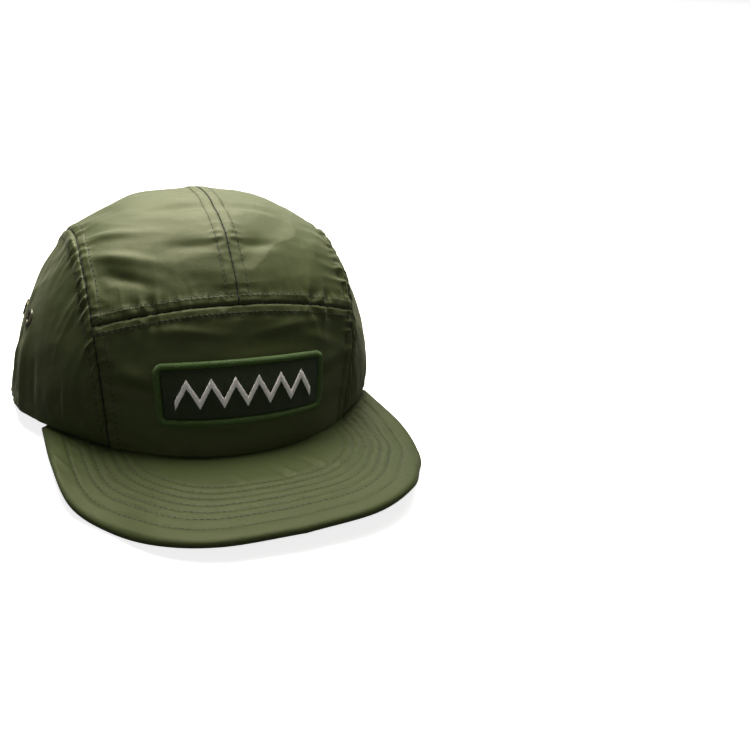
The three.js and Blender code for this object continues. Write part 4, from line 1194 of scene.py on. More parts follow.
def threads_on(name, lines, look, context, is_arch=False, **sizes):
    """A plain mesh of threads along rows, made by geometry nodes."""
    piece = line_object(name, lines)
    tree_name = "border_threads" if is_arch else "row_threads"
    group = bpy.data.node_groups.get(tree_name) or thread_tree(tree_name, is_arch)
    modifier = piece.modifiers.new("Threads", "NODES")
    modifier.node_group = group
    given = {"Start": 0.0, "Seed": 7, **sizes, "Material": look_of(look, context)}
    for item in group.interface.items_tree:
        if item.item_type == "SOCKET" and item.in_out == "INPUT" and item.name in given:
            modifier[item.identifier] = given[item.name]
    depsgraph = context.evaluated_depsgraph_get()
    mesh = bpy.data.meshes.new_from_object(
        piece.evaluated_get(depsgraph), preserve_all_data_layers=True, depsgraph=depsgraph,
    )
    piece.modifiers.clear()
    piece.data = mesh
    mesh.name = name
    return piece


def centimetres(a, b):
    return np.stack(np.broadcast_arrays(a, b), -1) * 100


class CAP_OT_front_panel(bpy.types.Operator):
    """Adds the front panel, from side seam to side seam under the patch"""
    bl_idname = "cap.front_panel"
    bl_label = "Front Panel"

    def execute(self, context):
        crown = crown_of(context)
        z = context.scene.cap_crown
        edge_u = z.seam_gap / 2 / crown.front_u_run
        edge_s = z.seam_gap / 2 / crown.front_s_run
        u = lerp(-1 + edge_u, 1 - edge_u,
                 graded(2 * crown.front_u_run, z.seam_pitch, z.cloth_pitch))
        s = lerp(edge_s, z.front_share - edge_s, graded(
            crown.front_s_run * z.front_share, z.seam_pitch, 0.8 * z.cloth_pitch, 0.002))
        u, s = np.meshgrid(u, s, indexing="ij")
        base = crown.belt(s, u)
        soft, _ = crown.belt_heights(s, u)
        outer = crown.belt_cloth(s, u)
        inner = crown.raised(base, soft - z.wall)
        uv = centimetres(u * crown.front_u_run, s * crown.front_s_run)
        piece = cloth_solid("front_panel_cloth", outer, inner, uv)
        put(piece, "nylon", "nylon", context, "front_panel")
        return {"FINISHED"}


class CAP_OT_top_panels(bpy.types.Operator):
    """Adds the two top panels, gathered towards the rear opening"""
    bl_idname = "cap.top_panels"
    bl_label = "Top Panels"

    def execute(self, context):
        crown = crown_of(context)
        z, o = context.scene.cap_crown, context.scene.cap_opening
        arch_part = 22 / 27
        a = graded(crown.nape_u_run + 0.03, z.seam_pitch, 0.9 * z.cloth_pitch)
        share = graded(crown.middle_run[-1] * 0.6, z.seam_pitch, 0.85 * z.cloth_pitch)
        a, share = np.meshgrid(a, share, indexing="ij")
        turn = np.minimum(a / arch_part, 1) * math.pi / 2
        end_s, end_u = crown.arch_place(turn, o.casing)
        on_hem = a > arch_part
        first = (o.half_wide + o.casing) / crown.nape_u_run
        end_u = np.where(on_hem, lerp(first, 1, (a - arch_part) / (1 - arch_part)), end_u)
        end_s = np.where(on_hem, 1, end_s)
        gap_u = z.seam_gap / 2 / crown.front_u_run
        gap_s = z.seam_gap / 2 / crown.nape_s_run
        s = lerp(z.front_share + gap_s, end_s - gap_s, share)
        u = lerp(a, end_u, share)
        u = np.clip(u, gap_u, 1 - gap_u)
        for hand_name, hand in hands:
            soft, sharp = crown.belt_heights(s, u * hand)
            base = crown.belt(s, u * hand)
            outer = crown.raised(base, soft + sharp)
            inner = crown.raised(base, soft - z.wall)
            along = np.interp(s, crown.stations, crown.middle_run)
            uv = centimetres(u * hand * np.interp(s, crown.stations, crown.half_length), along)
            piece = cloth_solid(f"top_panel_{hand_name}_cloth", outer, inner, uv)
            put(piece, "nylon", "nylon", context, f"top_panel_{hand_name}")
        return {"FINISHED"}


class CAP_OT_side_panels(bpy.types.Operator):
    """Adds the two side panels with the holes of their eyelets"""
    bl_idname = "cap.side_panels"
    bl_label = "Side Panels"

    def execute(self, context):
        crown = crown_of(context)
        z = context.scene.cap_crown
        s = lerp(0.003, 0.997, graded(
            crown.seam_run[-1], z.seam_pitch, 0.8 * z.cloth_pitch, 0.002, 0.002))
        tall = z.side_tall_share * z.tall
        t = graded(tall, z.seam_pitch, 0.9 * z.cloth_pitch, 0.008, 0.002)
        t = lerp(z.seam_gap / 2 / tall, 1 - z.seam_gap / 2 / tall, t)
        s, t = np.meshgrid(s, t, indexing="ij")
        from_hem = (1 - t) * np.interp(s, crown.stations, crown.side_tall)
        # The hem is turned in, so its edge is round
        round_hem = z.wall / 2 * (1 - np.sqrt(1 - np.clip(1 - from_hem / z.wall * 2, 0, 1) ** 2))
        for hand_name, hand in hands:
            outer, base = crown.side_cloth(s, t, hand)
            outer = crown.raised(outer, -round_hem)
            inner = crown.raised(base, -z.wall + round_hem)
            skip = np.zeros((s.shape[0] - 1, s.shape[1] - 1), bool)
            middle = (outer[:-1, :-1] + outer[1:, 1:]) / 2
            for _, _, at_hand, place, _ in crown.eyelets:
                if at_hand == hand:
                    away = np.linalg.norm(middle - place, axis=-1)
                    skip |= away < context.scene.cap_eyelet.barrel + 2 * z.seat_gap
            uv = centimetres(t * tall, np.interp(s, crown.stations, crown.seam_run))
            piece = cloth_solid(f"side_panel_{hand_name}_cloth", outer, inner, uv, None, skip)
            put(piece, "nylon", "nylon", context, f"side_panel_{hand_name}")
        return {"FINISHED"}


def casing_points(crown, turn, share):
    """The outer face of the casing, share 0 at the crown and 1 at the opening's edge."""
    o, seam = crown.opening, crown.seams
    s, u = crown.arch_place(turn, o.casing * (1 - share))
    base = crown.belt(s, u * np.sign(turn))
    broad, fine = crown.gathers(np.abs(turn), 0)
    swell = np.interp(share, (0, 0.5, 1), (0, 1, 0.5)) * o.casing_proud
    swell = swell + 0.5 * seam.pad * np.sin(math.pi * share)
    rows = sum(bell((share - k) * o.casing / seam.row_width) for k in casing_rows)
    sharp = fine * (0.5 + 0.5 * np.sin(math.pi * share)) * 1.2 - seam.row_depth * rows
    sharp -= 0.5 * seam.ditch_depth * bell(share * o.casing / seam.ditch_width)
    return base, broad + swell, sharp


casing_rows = (0.14, 0.86)


class CAP_OT_casing(bpy.types.Operator):
    """Adds the gathered casing round the rear opening"""
    bl_idname = "cap.casing"
    bl_label = "Rear Casing"

    def execute(self, context):
        crown = crown_of(context)
        z, o = context.scene.cap_crown, context.scene.cap_opening
        turn = np.linspace(-1, 1, 321) * math.pi / 2 * 0.998
        share = np.linspace(0.02, 0.98, 19)
        turn, share = np.meshgrid(turn, share, indexing="ij")
        base, soft, sharp = casing_points(crown, turn, share)
        edge = np.minimum(share, 1 - share) * o.casing
        edge_round = 0.4 * o.casing_depth * (1 - np.sqrt(
            1 - np.clip(1 - edge / (0.5 * o.casing_depth), 0, 1) ** 2))
        outer = crown.raised(base, soft + sharp - edge_round)
        inner = crown.raised(base, soft - o.casing_depth + edge_round)
        length = (o.half_wide + o.tall) * 0.8
        uv = centimetres(turn * length, share * o.casing)
        piece = cloth_solid("rear_casing_cloth", outer, inner, uv)
        put(piece, "nylon", "nylon", context, "rear_casing")
        return {"FINISHED"}


def distance_to_line(places, line):
    """Plan distance of each place from a polyline."""
    flat = places[..., :2].reshape(-1, 2)
    a, b = line[:-1, :2], line[1:, :2]
    way = b - a
    best = np.full(len(flat), np.inf)
    for k in range(0, len(flat), 4000):
        p = flat[k:k + 4000, None]
        share = np.clip(((p - a) * way).sum(-1) / (way ** 2).sum(-1), 0, 1)
        gap = np.linalg.norm(p - a - share[..., None] * way, axis=-1)
        best[k:k + 4000] = gap.min(axis=1)
    return best.reshape(places.shape[:-1])


def peak_row_distances(p):
    """Distances of the stitch rows from the peak's edge."""
    return [p.flange] + [p.first_row + k * p.row_pitch for k in range(p.rows)]


def evened(field, spread):
    """A grid of values evened out along its first direction."""
    reach = 3 * spread
    window = bell(np.arange(-reach, reach + 1) / spread)
    wide = np.pad(field, ((reach, reach), (0, 0)), mode="reflect")
    total = sum(w * wide[k:k + len(field)] for k, w in enumerate(window))
    return total / window.sum()


def row_field(away):
    """Distance from the peak's edge with corners that are rounder the further in they are."""
    rounded = lerp(evened(away, 8), evened(away, 24), smooth(away, 0.01, 0.04))
    return lerp(away, rounded, smooth(away, 0.003, 0.012))


def peak_relief(crown, places, away, is_top):
    """Height of the peak's cloth over the plain surface, at places on it."""
    p = crown.peak
    relief = np.zeros(away.shape)
    for row in peak_row_distances(p):
        relief -= p.groove * bell((away - row) / 0.0008)
    relief += p.puff * np.sin(math.pi * np.clip(away / p.flange, 0, 1)) ** 0.8
    between = np.clip((away - p.first_row) / p.row_pitch, 0, p.rows - 1)
    relief += 0.5 * p.puff * np.sin(math.pi * between) ** 2
    x, y = places[..., 0], places[..., 1]
    relief += 0.0004 * noise(x / 0.03, y / 0.022, 211) + 0.0001 * noise(x / 0.006, y / 0.005, 213)
    # Little slanted puckers across the rows at the corners
    corner = smooth(np.abs(x), 0.4 * p.half_wide, 0.8 * p.half_wide) * smooth(
        p.first_row + p.rows * p.row_pitch - away, 0, 0.01)
    relief += corner * 0.00022 * creased((x + 0.6 * y) / 0.0055, (y - 0.6 * x) / 0.02, 217)
    if is_top:
        front_y = y.min()
        for k in range(len(peak_creases["x"])):
            turn = math.radians(peak_creases["turn"][k])
            dx = x - peak_creases["x"][k] * p.reach
            dy = y - front_y - peak_creases["y"][k] * p.reach
            lengthwise = (dx * math.sin(turn) - dy * math.cos(turn)) / (
                0.5 * peak_creases["run"][k] * p.row_pitch)
            across = (dx * math.cos(turn) + dy * math.sin(turn)) / p.crease_width
            fold = (across + 0.4) * bell(across)
            relief += peak_creases["depth"][k] * p.crease_depth * fold * bell(lengthwise)
    return relief


def peak_surfaces(crown):
    """Upper and lower surface of the peak with the row field, as grids."""
    p = crown.peak
    across = np.linspace(-1, 1, 361)
    inside, seat, edge = crown.peak_lines(across)
    v = graded(p.reach, 0.0006, 0.00085, 0.002, 0.004)[None, :, None]
    wide = np.minimum(1, np.linalg.norm(seat - edge, axis=-1) / p.reach)[:, None]
    plain = seat[:, None] + (edge - seat)[:, None] * v
    plain[..., 2] += p.camber * wide * np.sin(math.pi * v[..., 0])
    plain = np.concatenate([inside[:, None], plain], axis=1)
    upper, lower = plain.copy(), plain - (0, 0, p.thick)
    # Round edge: the outer part of the surface follows a half ellipse
    away = distance_to_line(plain, edge)
    radius = p.thick / 2
    fall = 1 - np.sqrt(1 - np.clip(1 - away / (1.3 * radius), 0, 1) ** 2)
    held = smooth(away, 0, 0.0025) * smooth(
        np.linalg.norm(plain - seat[:, None], axis=-1), 0, 0.003)
    field = row_field(away)
    upper[..., 2] += peak_relief(crown, plain, field, True) * held - radius * fall * 0.96
    lower[..., 2] += radius * fall * 0.96 - peak_relief(crown, plain, field, False) * held
    lower[..., 2] = np.maximum(lower[..., 2], 0)
    return plain, upper, lower, field


class CAP_OT_peak(bpy.types.Operator):
    """Adds the peak with its rolled edge and stitched grooves"""
    bl_idname = "cap.peak"
    bl_label = "Peak"

    def execute(self, context):
        plain, upper, lower, field = peak_surfaces(crown_of(context))
        uv = centimetres(plain[..., 0], plain[..., 1])
        piece = cloth_solid("peak_cloth", upper, lower, uv, {"inside": 0 * field})
        # The peak takes the darker copy of the nylon: painted shade
        put(piece, "peak_nylon_shaded", "nylon", context, "peak")
        return {"FINISHED"}


class CAP_OT_sweatband(bpy.types.Operator):
    """Adds the sweatband inside the crown"""
    bl_idname = "cap.sweatband"
    bl_label = "Sweatband"

    def execute(self, context):
        crown = crown_of(context)
        b, strap, o = context.scene.cap_band, context.scene.cap_strap, context.scene.cap_opening
        walls = [
            BVHTree.FromPolygons([v.co for v in node.data.vertices],
                                 [tuple(f.vertices) for f in node.data.polygons])
            for name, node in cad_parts.items() if "panel" in name or "casing" in name
        ]
        start_u = (o.half_wide + strap.tuck + 0.001) / crown.nape_u_run
        lengths = (crown.half_length[0], crown.hem_run[-1], (1 - start_u) * crown.nape_u_run)
        across = np.linspace(-1, 1, 221)
        rest = np.abs(across) * sum(lengths)
        on_side = (rest - lengths[0]) / lengths[1]
        on_nape = (rest - lengths[0] - lengths[1]) / lengths[2]
        hem = np.where((on_side < 0)[:, None], crown.belt(0 * rest, np.clip(rest / lengths[0], 0, 1)),
                       crown.side_hem(np.clip(on_side, 0, 1)))
        nape = crown.belt(1 + 0 * rest, lerp(1, start_u, np.clip(on_nape, 0, 1)))
        hem = np.where((on_nape > 0)[:, None], nape, hem)
        hem[:, 0] *= np.where(across < 0, -1, 1)
        way = unit((hem - (0, crown.middle_y, 0)) * (1, 1, 0))
        levels = np.linspace(0, 1, 12)
        foot = np.maximum(hem[:, 2] - b.drop, b.floor)
        z = foot[:, None] + levels * b.tall
        reach = np.full(z.shape, context.scene.cap_crown.long)
        for i in range(z.shape[0]):
            for j in range(z.shape[1]):
                height = max(z[i, j], hem[i, 2] + 0.001)
                for rise in (0, 0.002, -0.0005):
                    origin = Vector((0, crown.middle_y, height + rise))
                    for wall in walls:
                        hit = wall.ray_cast(origin, Vector(way[i]))
                        if hit[0] is not None:
                            reach[i, j] = min(reach[i, j], hit[3])
        # The shortest reach nearby, then evened out, so that the folds stay clear
        near = np.pad(reach, ((3, 3), (1, 1)), mode="edge")
        m, n = reach.shape
        reach = np.min([near[i:i + m, j:j + n] for i in range(7) for j in range(3)], axis=0)
        near = np.pad(reach, ((2, 2), (0, 0)), mode="edge")
        reach = np.minimum(reach, np.mean([near[i:i + m] for i in range(5)], axis=0))
        reach = reach - b.clearance
        outer = points(way[:, None, 0] * reach, crown.middle_y + way[:, None, 1] * reach, z)
        flat = unit(crown.outward(outer) * (1, 1, 0))
        inner = outer - flat * b.thick
        uv = centimetres(across[:, None] * sum(lengths), levels * b.tall)
        piece = cloth_solid("sweatband_tape", outer, inner, uv)
        put(piece, "band", "band", context, "sweatband")
        return {"FINISHED"}


def curve_through(plan, per_step):
    """A centripetal Catmull-Rom curve through the points of a plan."""
    plan = np.asarray(plan, float)
    wide = np.concatenate([[2 * plan[0] - plan[1]], plan, [2 * plan[-1] - plan[-2]]])
    w = np.linspace(0, 1, per_step, endpoint=False)[:, None]
    places = []
    for k in range(len(plan) - 1):
        p0, p1, p2, p3 = wide[k:k + 4]
        d0, d1, d2 = (np.linalg.norm(b - a) ** 0.5 for a, b in ((p0, p1), (p1, p2), (p2, p3)))
        m1 = ((p1 - p0) / d0 - (p2 - p0) / (d0 + d1) + (p2 - p1) / d1) * d1
        m2 = ((p2 - p1) / d1 - (p3 - p1) / (d1 + d2) + (p3 - p2) / d2) * d1
        places.append(
            p1 + m1 * w + (-3 * p1 + 3 * p2 - 2 * m1 - m2) * w ** 2
            + (2 * p1 - 2 * p2 + m1 + m2) * w ** 3)
    return np.concatenate([*places, plan[-1:]])


class StrapPlan:
    """Where the straps and the buckle lie behind the rear opening."""

    def __init__(self, crown, strap):
        self.crown, self.strap = crown, strap
        self.corner = crown.belt(np.array(1.0),
                                 np.array(crown.opening.half_wide / crown.nape_u_run))[:2]
        self.centre = np.array((0.002, self.corner[1] + strap.slack))
        turn = strap.buckle_turn
        self.way = np.array((-math.cos(turn), math.sin(turn)))
        self.out = np.array((math.sin(turn), math.cos(turn)))

    def at_buckle(self, a, b):
        return self.centre + self.way * a + self.out * b

    def near_buckle(self, x):
        free = self.strap.buckle_long / 2 + 0.004
        return 1 - smooth(np.abs(x - self.centre[0]), free, self.crown.opening.half_wide)

    def base(self, x):
        raised = self.strap.rail + self.strap.slot_clearance
        return self.strap.floor_clearance + raised * self.near_buckle(x)

    def up(self, x):
        lean = self.strap.lean * lerp(self.strap.lean_start, 1, self.near_buckle(x))
        return points(self.out[0] * np.sin(lean), self.out[1] * np.sin(lean), np.cos(lean))

    def tucked(self, distance, hand):
        """Inside of the casing, where a strap's end is sewn in."""
        o, z = self.crown.opening, self.strap
        place = self.crown.belt(np.array(1.0), np.array(
            (o.half_wide + distance) / self.crown.nape_u_run))
        flat = unit(self.crown.outward(place) * (1, 1, 0))
        place = place - flat * (o.casing_depth + o.gather_depth + z.clearance + z.thick / 2)
        return np.array((place[0] * hand, place[1]))

    def off_corner(self, inwards, back, hand):
        return np.array((hand * (self.corner[0] - inwards), self.corner[1] + back))

    def short_route(self):
        z = self.strap
        gap = self.crown.crown.seat_gap
        over = z.buckle_thick / 2 + z.clearance + z.thick / 2 + z.play
        half = z.buckle_long / 2
        loop = -half + z.bar + z.clearance + z.thick / 2 + 2 * z.play
        thin = z.thick / 2 + 2.5 * z.play
        cut = z.turn_cut
        return [
            self.tucked(z.tuck, 1),
            self.tucked(0.5 * z.tuck, 1),
            self.tucked(0, 1) - (gap, 0),
            self.off_corner(z.exit_in, z.exit_back, 1),
            self.off_corner(z.short_bend_in, z.short_bend_share * z.slack, 1),
            self.at_buckle(-half - z.layers_meet, thin),
            self.at_buckle(-half, over),
            self.at_buckle(loop - cut, over),
            self.at_buckle(loop, over - cut),
            self.at_buckle(loop, -over + cut),
            self.at_buckle(loop - cut, -over),
            self.at_buckle(-half, -over),
            self.at_buckle(-half - z.layers_meet, -thin),
            self.at_buckle(-half - z.loop_end, -thin - 2 * z.play),
        ]

    def long_route(self):
        z = self.strap
        gap = self.crown.crown.seat_gap
        over = z.buckle_thick / 2 + z.clearance + z.thick / 2 + z.play
        half = z.buckle_long / 2
        turn = z.centre_bar / 2 + z.clearance + z.thick / 2 + 2 * z.play
        under = over + z.thick + z.clearance + z.play
        cut = z.turn_cut
        return [
            self.tucked(z.tuck, -1),
            self.tucked(0.5 * z.tuck, -1),
            self.tucked(0, -1) + (gap, 0),
            self.off_corner(z.exit_in, z.exit_back, -1),
            self.off_corner(z.long_bend_in, z.long_bend_share * z.slack, -1),
            self.at_buckle(half + 2 * cut, -under - 2 * z.play),
            self.at_buckle(turn, -under - z.play),
            self.at_buckle(-turn + cut, -over - 2 * z.play),
            self.at_buckle(-turn, -over + cut),
            self.at_buckle(-turn, over - cut),
            self.at_buckle(-turn + cut, over),
            self.at_buckle(turn - cut, over),
            self.at_buckle(turn, over - cut),
            self.at_buckle(turn, -over + cut),
            self.at_buckle(turn + cut, -over),
            self.at_buckle(half + cut, -over),
            self.at_buckle(half + z.layers_meet, -0.5 * over),
            self.centre + (-z.tail_bend_share * z.tail, z.tail_bend_back),
            self.centre + (-z.tail, z.tail_tip_back),
        ]


def webbing_piece(name, route, plan):
    """A ribbon of webbing with ribs and scalloped edges along a route."""
    z = plan.strap
    line = curve_through(route, 60)
    run = run_of(line)
    even = np.linspace(0, run[-1], int(run[-1] / (z.weave / 4)))
    line = np.stack([np.interp(even, run, line[:, k]) for k in range(2)], 1)
    way = unit(np.gradient(line, axis=0))
    normal = points(-way[:, 1], way[:, 0], 0)[:, None]
    up = plan.up(line[:, 0])[:, None]
    base = points(line[:, 0], line[:, 1], plan.base(line[:, 0]))[:, None]
    # Once round the section: one face going up, the other coming down
    steps = 22
    climb = np.linspace(0, 1, steps)
    share = np.concatenate([climb, climb[::-1]])
    face = np.repeat((1.0, -1.0), steps)
    edge = np.minimum(share, 1 - share) * z.wide
    thin = np.sqrt(1 - np.clip(1 - edge / (0.6 * z.thick), 0, 1) ** 2) * 0.94 + 0.06
    phase = 2 * math.pi * even[:, None] / z.weave
    ribs = np.sin(phase) * np.cos(2 * math.pi * share * z.wide / (1.6 * z.weave))
    is_edge = np.clip(1 - edge / (1.2 * z.weave), 0, 1)
    high = (z.thick / 2 - 1.5 * z.weave_depth) * thin + z.weave_depth * ribs * (1 - is_edge)
    scallop = 0.5 * z.weave_depth * (2 + 2 * np.cos(phase)) * is_edge * np.sign(share - 0.5)
    rings = base + up * (share * z.wide - scallop)[..., None] + normal * (high * face)[..., None]
    uv = centimetres(even[:, None], share * z.wide)
    return tube_solid(name, rings, False, uv)


class CAP_OT_straps(bpy.types.Operator):
    """Adds the two webbing straps, one looped on the buckle and one with a free tail"""
    bl_idname = "cap.straps"
    bl_label = "Straps"

    def execute(self, context):
        plan = StrapPlan(crown_of(context), context.scene.cap_strap)
        for name, route in (("short", plan.short_route()), ("long", plan.long_route())):
            piece = webbing_piece(f"strap_{name}_webbing", route, plan)
            put(piece, "webbing", "webbing", context, f"strap_{name}")
        return {"FINISHED"}


def rounded_points(left, bottom, right, top, corner, steps=6):
    """Points round a rectangle with round corners, anticlockwise."""
    turn = np.linspace(0, math.pi / 2, steps + 1)
    places = []
    for x, y, start in (
        (right - corner, bottom + corner, -math.pi / 2),
        (right - corner, top - corner, 0),
        (left + corner, top - corner, math.pi / 2),
        (left + corner, bottom + corner, math.pi),
    ):
        places.append(np.stack([x + corner * np.cos(start + turn),
                                y + corner * np.sin(start + turn)], 1))
    return np.concatenate(places)


class CAP_OT_buckle(bpy.types.Operator):
    """Adds the three-bar slide buckle"""
    bl_idname = "cap.buckle"
    bl_label = "Slide Buckle"

    def execute(self, context):
        z = context.scene.cap_strap
        plan = StrapPlan(crown_of(context), z)
        half, middle = z.buckle_long / 2, z.centre_bar / 2
        low, high = -z.slot_clearance, z.wide + z.slot_clearance
        outlines = [rounded_points(-half, low - z.rail, half, high + z.rail, z.corner)]
        for left, right in ((-half + z.bar, -middle), (middle, half - z.bar)):
            outlines.append(rounded_points(left, low, right, high, 0.0004 + z.soften, 3)[::-1])
        curve = bpy.data.curves.new("buckle_outline", "CURVE")
        curve.dimensions, curve.fill_mode = "2D", "BOTH"
        curve.extrude = z.buckle_thick / 2 - z.soften
        curve.bevel_depth, curve.offset, curve.bevel_resolution = z.soften, -z.soften, 3
        for outline in outlines:
            spline = curve.splines.new("POLY")
            spline.points.add(len(outline) - 1)
            spline.use_cyclic_u = True
            flat = np.zeros((len(outline), 4))
            flat[:, :2], flat[:, 3] = outline, 1
            spline.points.foreach_set("co", flat.ravel())
        drawn = bpy.data.objects.new("buckle_outline", curve)
        context.scene.collection.objects.link(drawn)
        depsgraph = context.evaluated_depsgraph_get()
        mesh = bpy.data.meshes.new_from_object(drawn.evaluated_get(depsgraph))
        bpy.data.objects.remove(drawn)
        along = np.array((*plan.way, 0))
        up = plan.up(plan.centre[0])
        through = np.cross(along, up)
        base = (*plan.centre, plan.base(plan.centre[0]))
        place = Matrix(np.column_stack([along, up, through, base]).tolist()).to_4x4()
        co = np.zeros(len(mesh.vertices) * 3)
        mesh.vertices.foreach_get("co", co)
        co = co.reshape(-1, 3) @ np.stack([along, up, through]) + np.array(base)
        merged, where = np.unique(np.round(co, 7), axis=0, return_inverse=True)
        where = where.ravel()
        faces = []
        for face in mesh.polygons:
            ring = list(dict.fromkeys(int(where[v]) for v in face.vertices))
            if len(ring) > 2:
                faces.append(ring)
        piece = mesh_object("buckle_slide", merged, faces, None, None, 40)
        bpy.data.meshes.remove(mesh)
        put(piece, "plastic", "plastic", context, "buckle")
        return {"FINISHED"}


class CAP_OT_eyelets(bpy.types.Operator):
    """Adds the four eyelets"""
    bl_idname = "cap.eyelets"
    bl_label = "Eyelets"

    def execute(self, context):
        crown = crown_of(context)
        z, cloth = context.scene.cap_eyelet, context.scene.cap_crown
        back = -cloth.wall - z.back_gap
        tip = (z.radius + z.hole) / 2
        half = (z.radius - z.hole) / 2
        arc = np.linspace(0, math.pi, 13)
        flange = [(tip + half * math.cos(a), cloth.seat_gap + z.crown * math.sin(a)) for a in arc]
        profile = np.array([
            (z.barrel, cloth.seat_gap), *flange, (z.hole, back - 0.0004),
            (z.hole + 0.0002, back - 0.0007), (z.back, back - 0.0005), (z.back, back),
            (z.barrel, back),
        ])
        turn = np.linspace(0, 2 * math.pi, 48, endpoint=False)
        for name, hand_name, _, middle, normal in crown.eyelets:
            side = unit(np.cross(normal, (0, 0, 1)))
            over = np.cross(side, normal)
            ring = side * np.cos(turn)[:, None] + over * np.sin(turn)[:, None]
            rings = (middle + profile[None, :, 1, None] * normal
                     + profile[None, :, 0, None] * ring[:, None])
            piece = tube_solid(f"eyelet_{name}_{hand_name}_metal", rings, True, None, 60)
            put(piece, "eyelet_metal", "eyelet_metal", context, f"eyelet_{name}_{hand_name}")
        return {"FINISHED"}


def over_front(crown, x, y, height):
    """A point over the front panel, x along the patch and y up from its lower edge."""
    s = (crown.patch.rise + y) / crown.front_s_run
    return crown.raised(crown.belt(s, x / crown.front_u_run), height)


class CAP_OT_patch(bpy.types.Operator):
    """Adds the patch with its overlocked border and a zigzag band in satin stitch"""
    bl_idname = "cap.patch"
    bl_label = "Patch"

    def execute(self, context):
        crown = crown_of(context)
        z, gap = context.scene.cap_patch, context.scene.cap_crown.seat_gap
        base = 3 * gap
        inset = z.border + 2 * gap
        x = np.linspace(-z.wide / 2 + inset, z.wide / 2 - inset, 121)
        y = np.linspace(inset, z.tall - inset, 41)
        x, y = np.meshgrid(x, y, indexing="ij")
        wave = 0.00012 * noise(x / 0.012, y / 0.009, 301)
        top = over_front(crown, x, y, base + z.thick + wave)
        piece = cloth_solid("patch_twill", top, over_front(crown, x, y, base + 0 * x),
                            centimetres(x, y), {"inside": 0 * x})
        put(piece, "twill", "twill", context, "patch")
        self.border(context, crown, z, base)
        self.motif(context, crown, z, base + z.thick + gap)
        return {"FINISHED"}

    def border(self, context, crown, z, base):
        half = z.border / 2
        loop = rounded_points(-z.wide / 2 + half, half, z.wide / 2 - half, z.tall - half,
                              z.corner, 5)
        loop = np.concatenate([loop, loop[:1]])
        run = run_of(loop)
        even = np.linspace(0, run[-1], 300)
        loop = np.stack([np.interp(even, run, loop[:, k]) for k in range(2)], 1)
        way = unit(np.roll(loop[:-1], -1, 0) - np.roll(loop[:-1], 1, 0))
        out = np.stack([way[:, 1], -way[:, 0]], 1)
        core = 0.78
        turn = np.linspace(0, math.pi, 9)
        across, up = np.cos(turn) * half * core, np.sin(turn) * z.border_tall * core
        centre = loop[:-1]
        rings = over_front(crown, centre[:, None, 0] + out[:, None, 0] * across,
                           centre[:, None, 1] + out[:, None, 1] * across, base + up)
        piece = tube_solid("patch_border_core", rings, True, None, 80)
        put(piece, "border_thread", "border_thread", context, "patch_border")
        places = over_front(crown, loop[:, 0], loop[:, 1], base + 0 * even)
        line = row_line(places, crown.outward(places))
        wraps = threads_on(
            "patch_border_wraps", [line], "border_thread", context, True,
            Pitch=z.wrap, Length=z.border - 0.0002, Width=z.wrap * 1.15,
            Height=z.border_tall - 0.5 * z.wrap, Seed=11,
        )
        put(wraps, "border_thread", "border_thread", context)

    def motif(self, context, crown, z, base):
        steps = 25
        swing = (z.motif_tall - z.stroke) / 2
        share = np.linspace(0, 1, 2 * z.peaks * steps + 1)
        phase = (share * 2 * z.peaks) % 2
        centre_y = z.tall / 2 + swing * (1 - 2 * np.abs(phase - 1))
        x = (share - 0.5) * z.motif_wide
        core = 0.84
        y = centre_y[:, None] + np.linspace(-0.5, 0.5, 9) * z.stroke * core
        arch = np.sqrt(1 - np.linspace(-0.9, 0.9, 9) ** 2)
        top = over_front(crown, x[:, None] + 0 * y, y, base + z.motif_thick * core * arch)
        low = over_front(crown, x[:, None] + 0 * y, y, base + 0 * y)
        piece = cloth_solid("patch_motif_pad", top, low, centimetres(x[:, None] + 0 * y, y))
        put(piece, "motif_thread", "motif_thread", context, "patch_motif")
        places = over_front(crown, x, centre_y, base + 0.45 * z.motif_thick + 0 * x)
        above = over_front(crown, x, centre_y + 0.001, base + 0.45 * z.motif_thick + 0 * x)
        # The spacing runs along the zigzag, so that the threads stay closely packed
        line = row_line(places, crown.outward(places), unit(above - places))
        threads = threads_on(
            "patch_motif_satin", [line], "motif_thread", context,
            Pitch=z.satin * 1.9, Length=z.stroke * 1.02, Width=z.satin * 1.25,
            Height=0.9 * z.motif_thick, Seed=13,
        )
        put(threads, "motif_thread", "motif_thread", context)


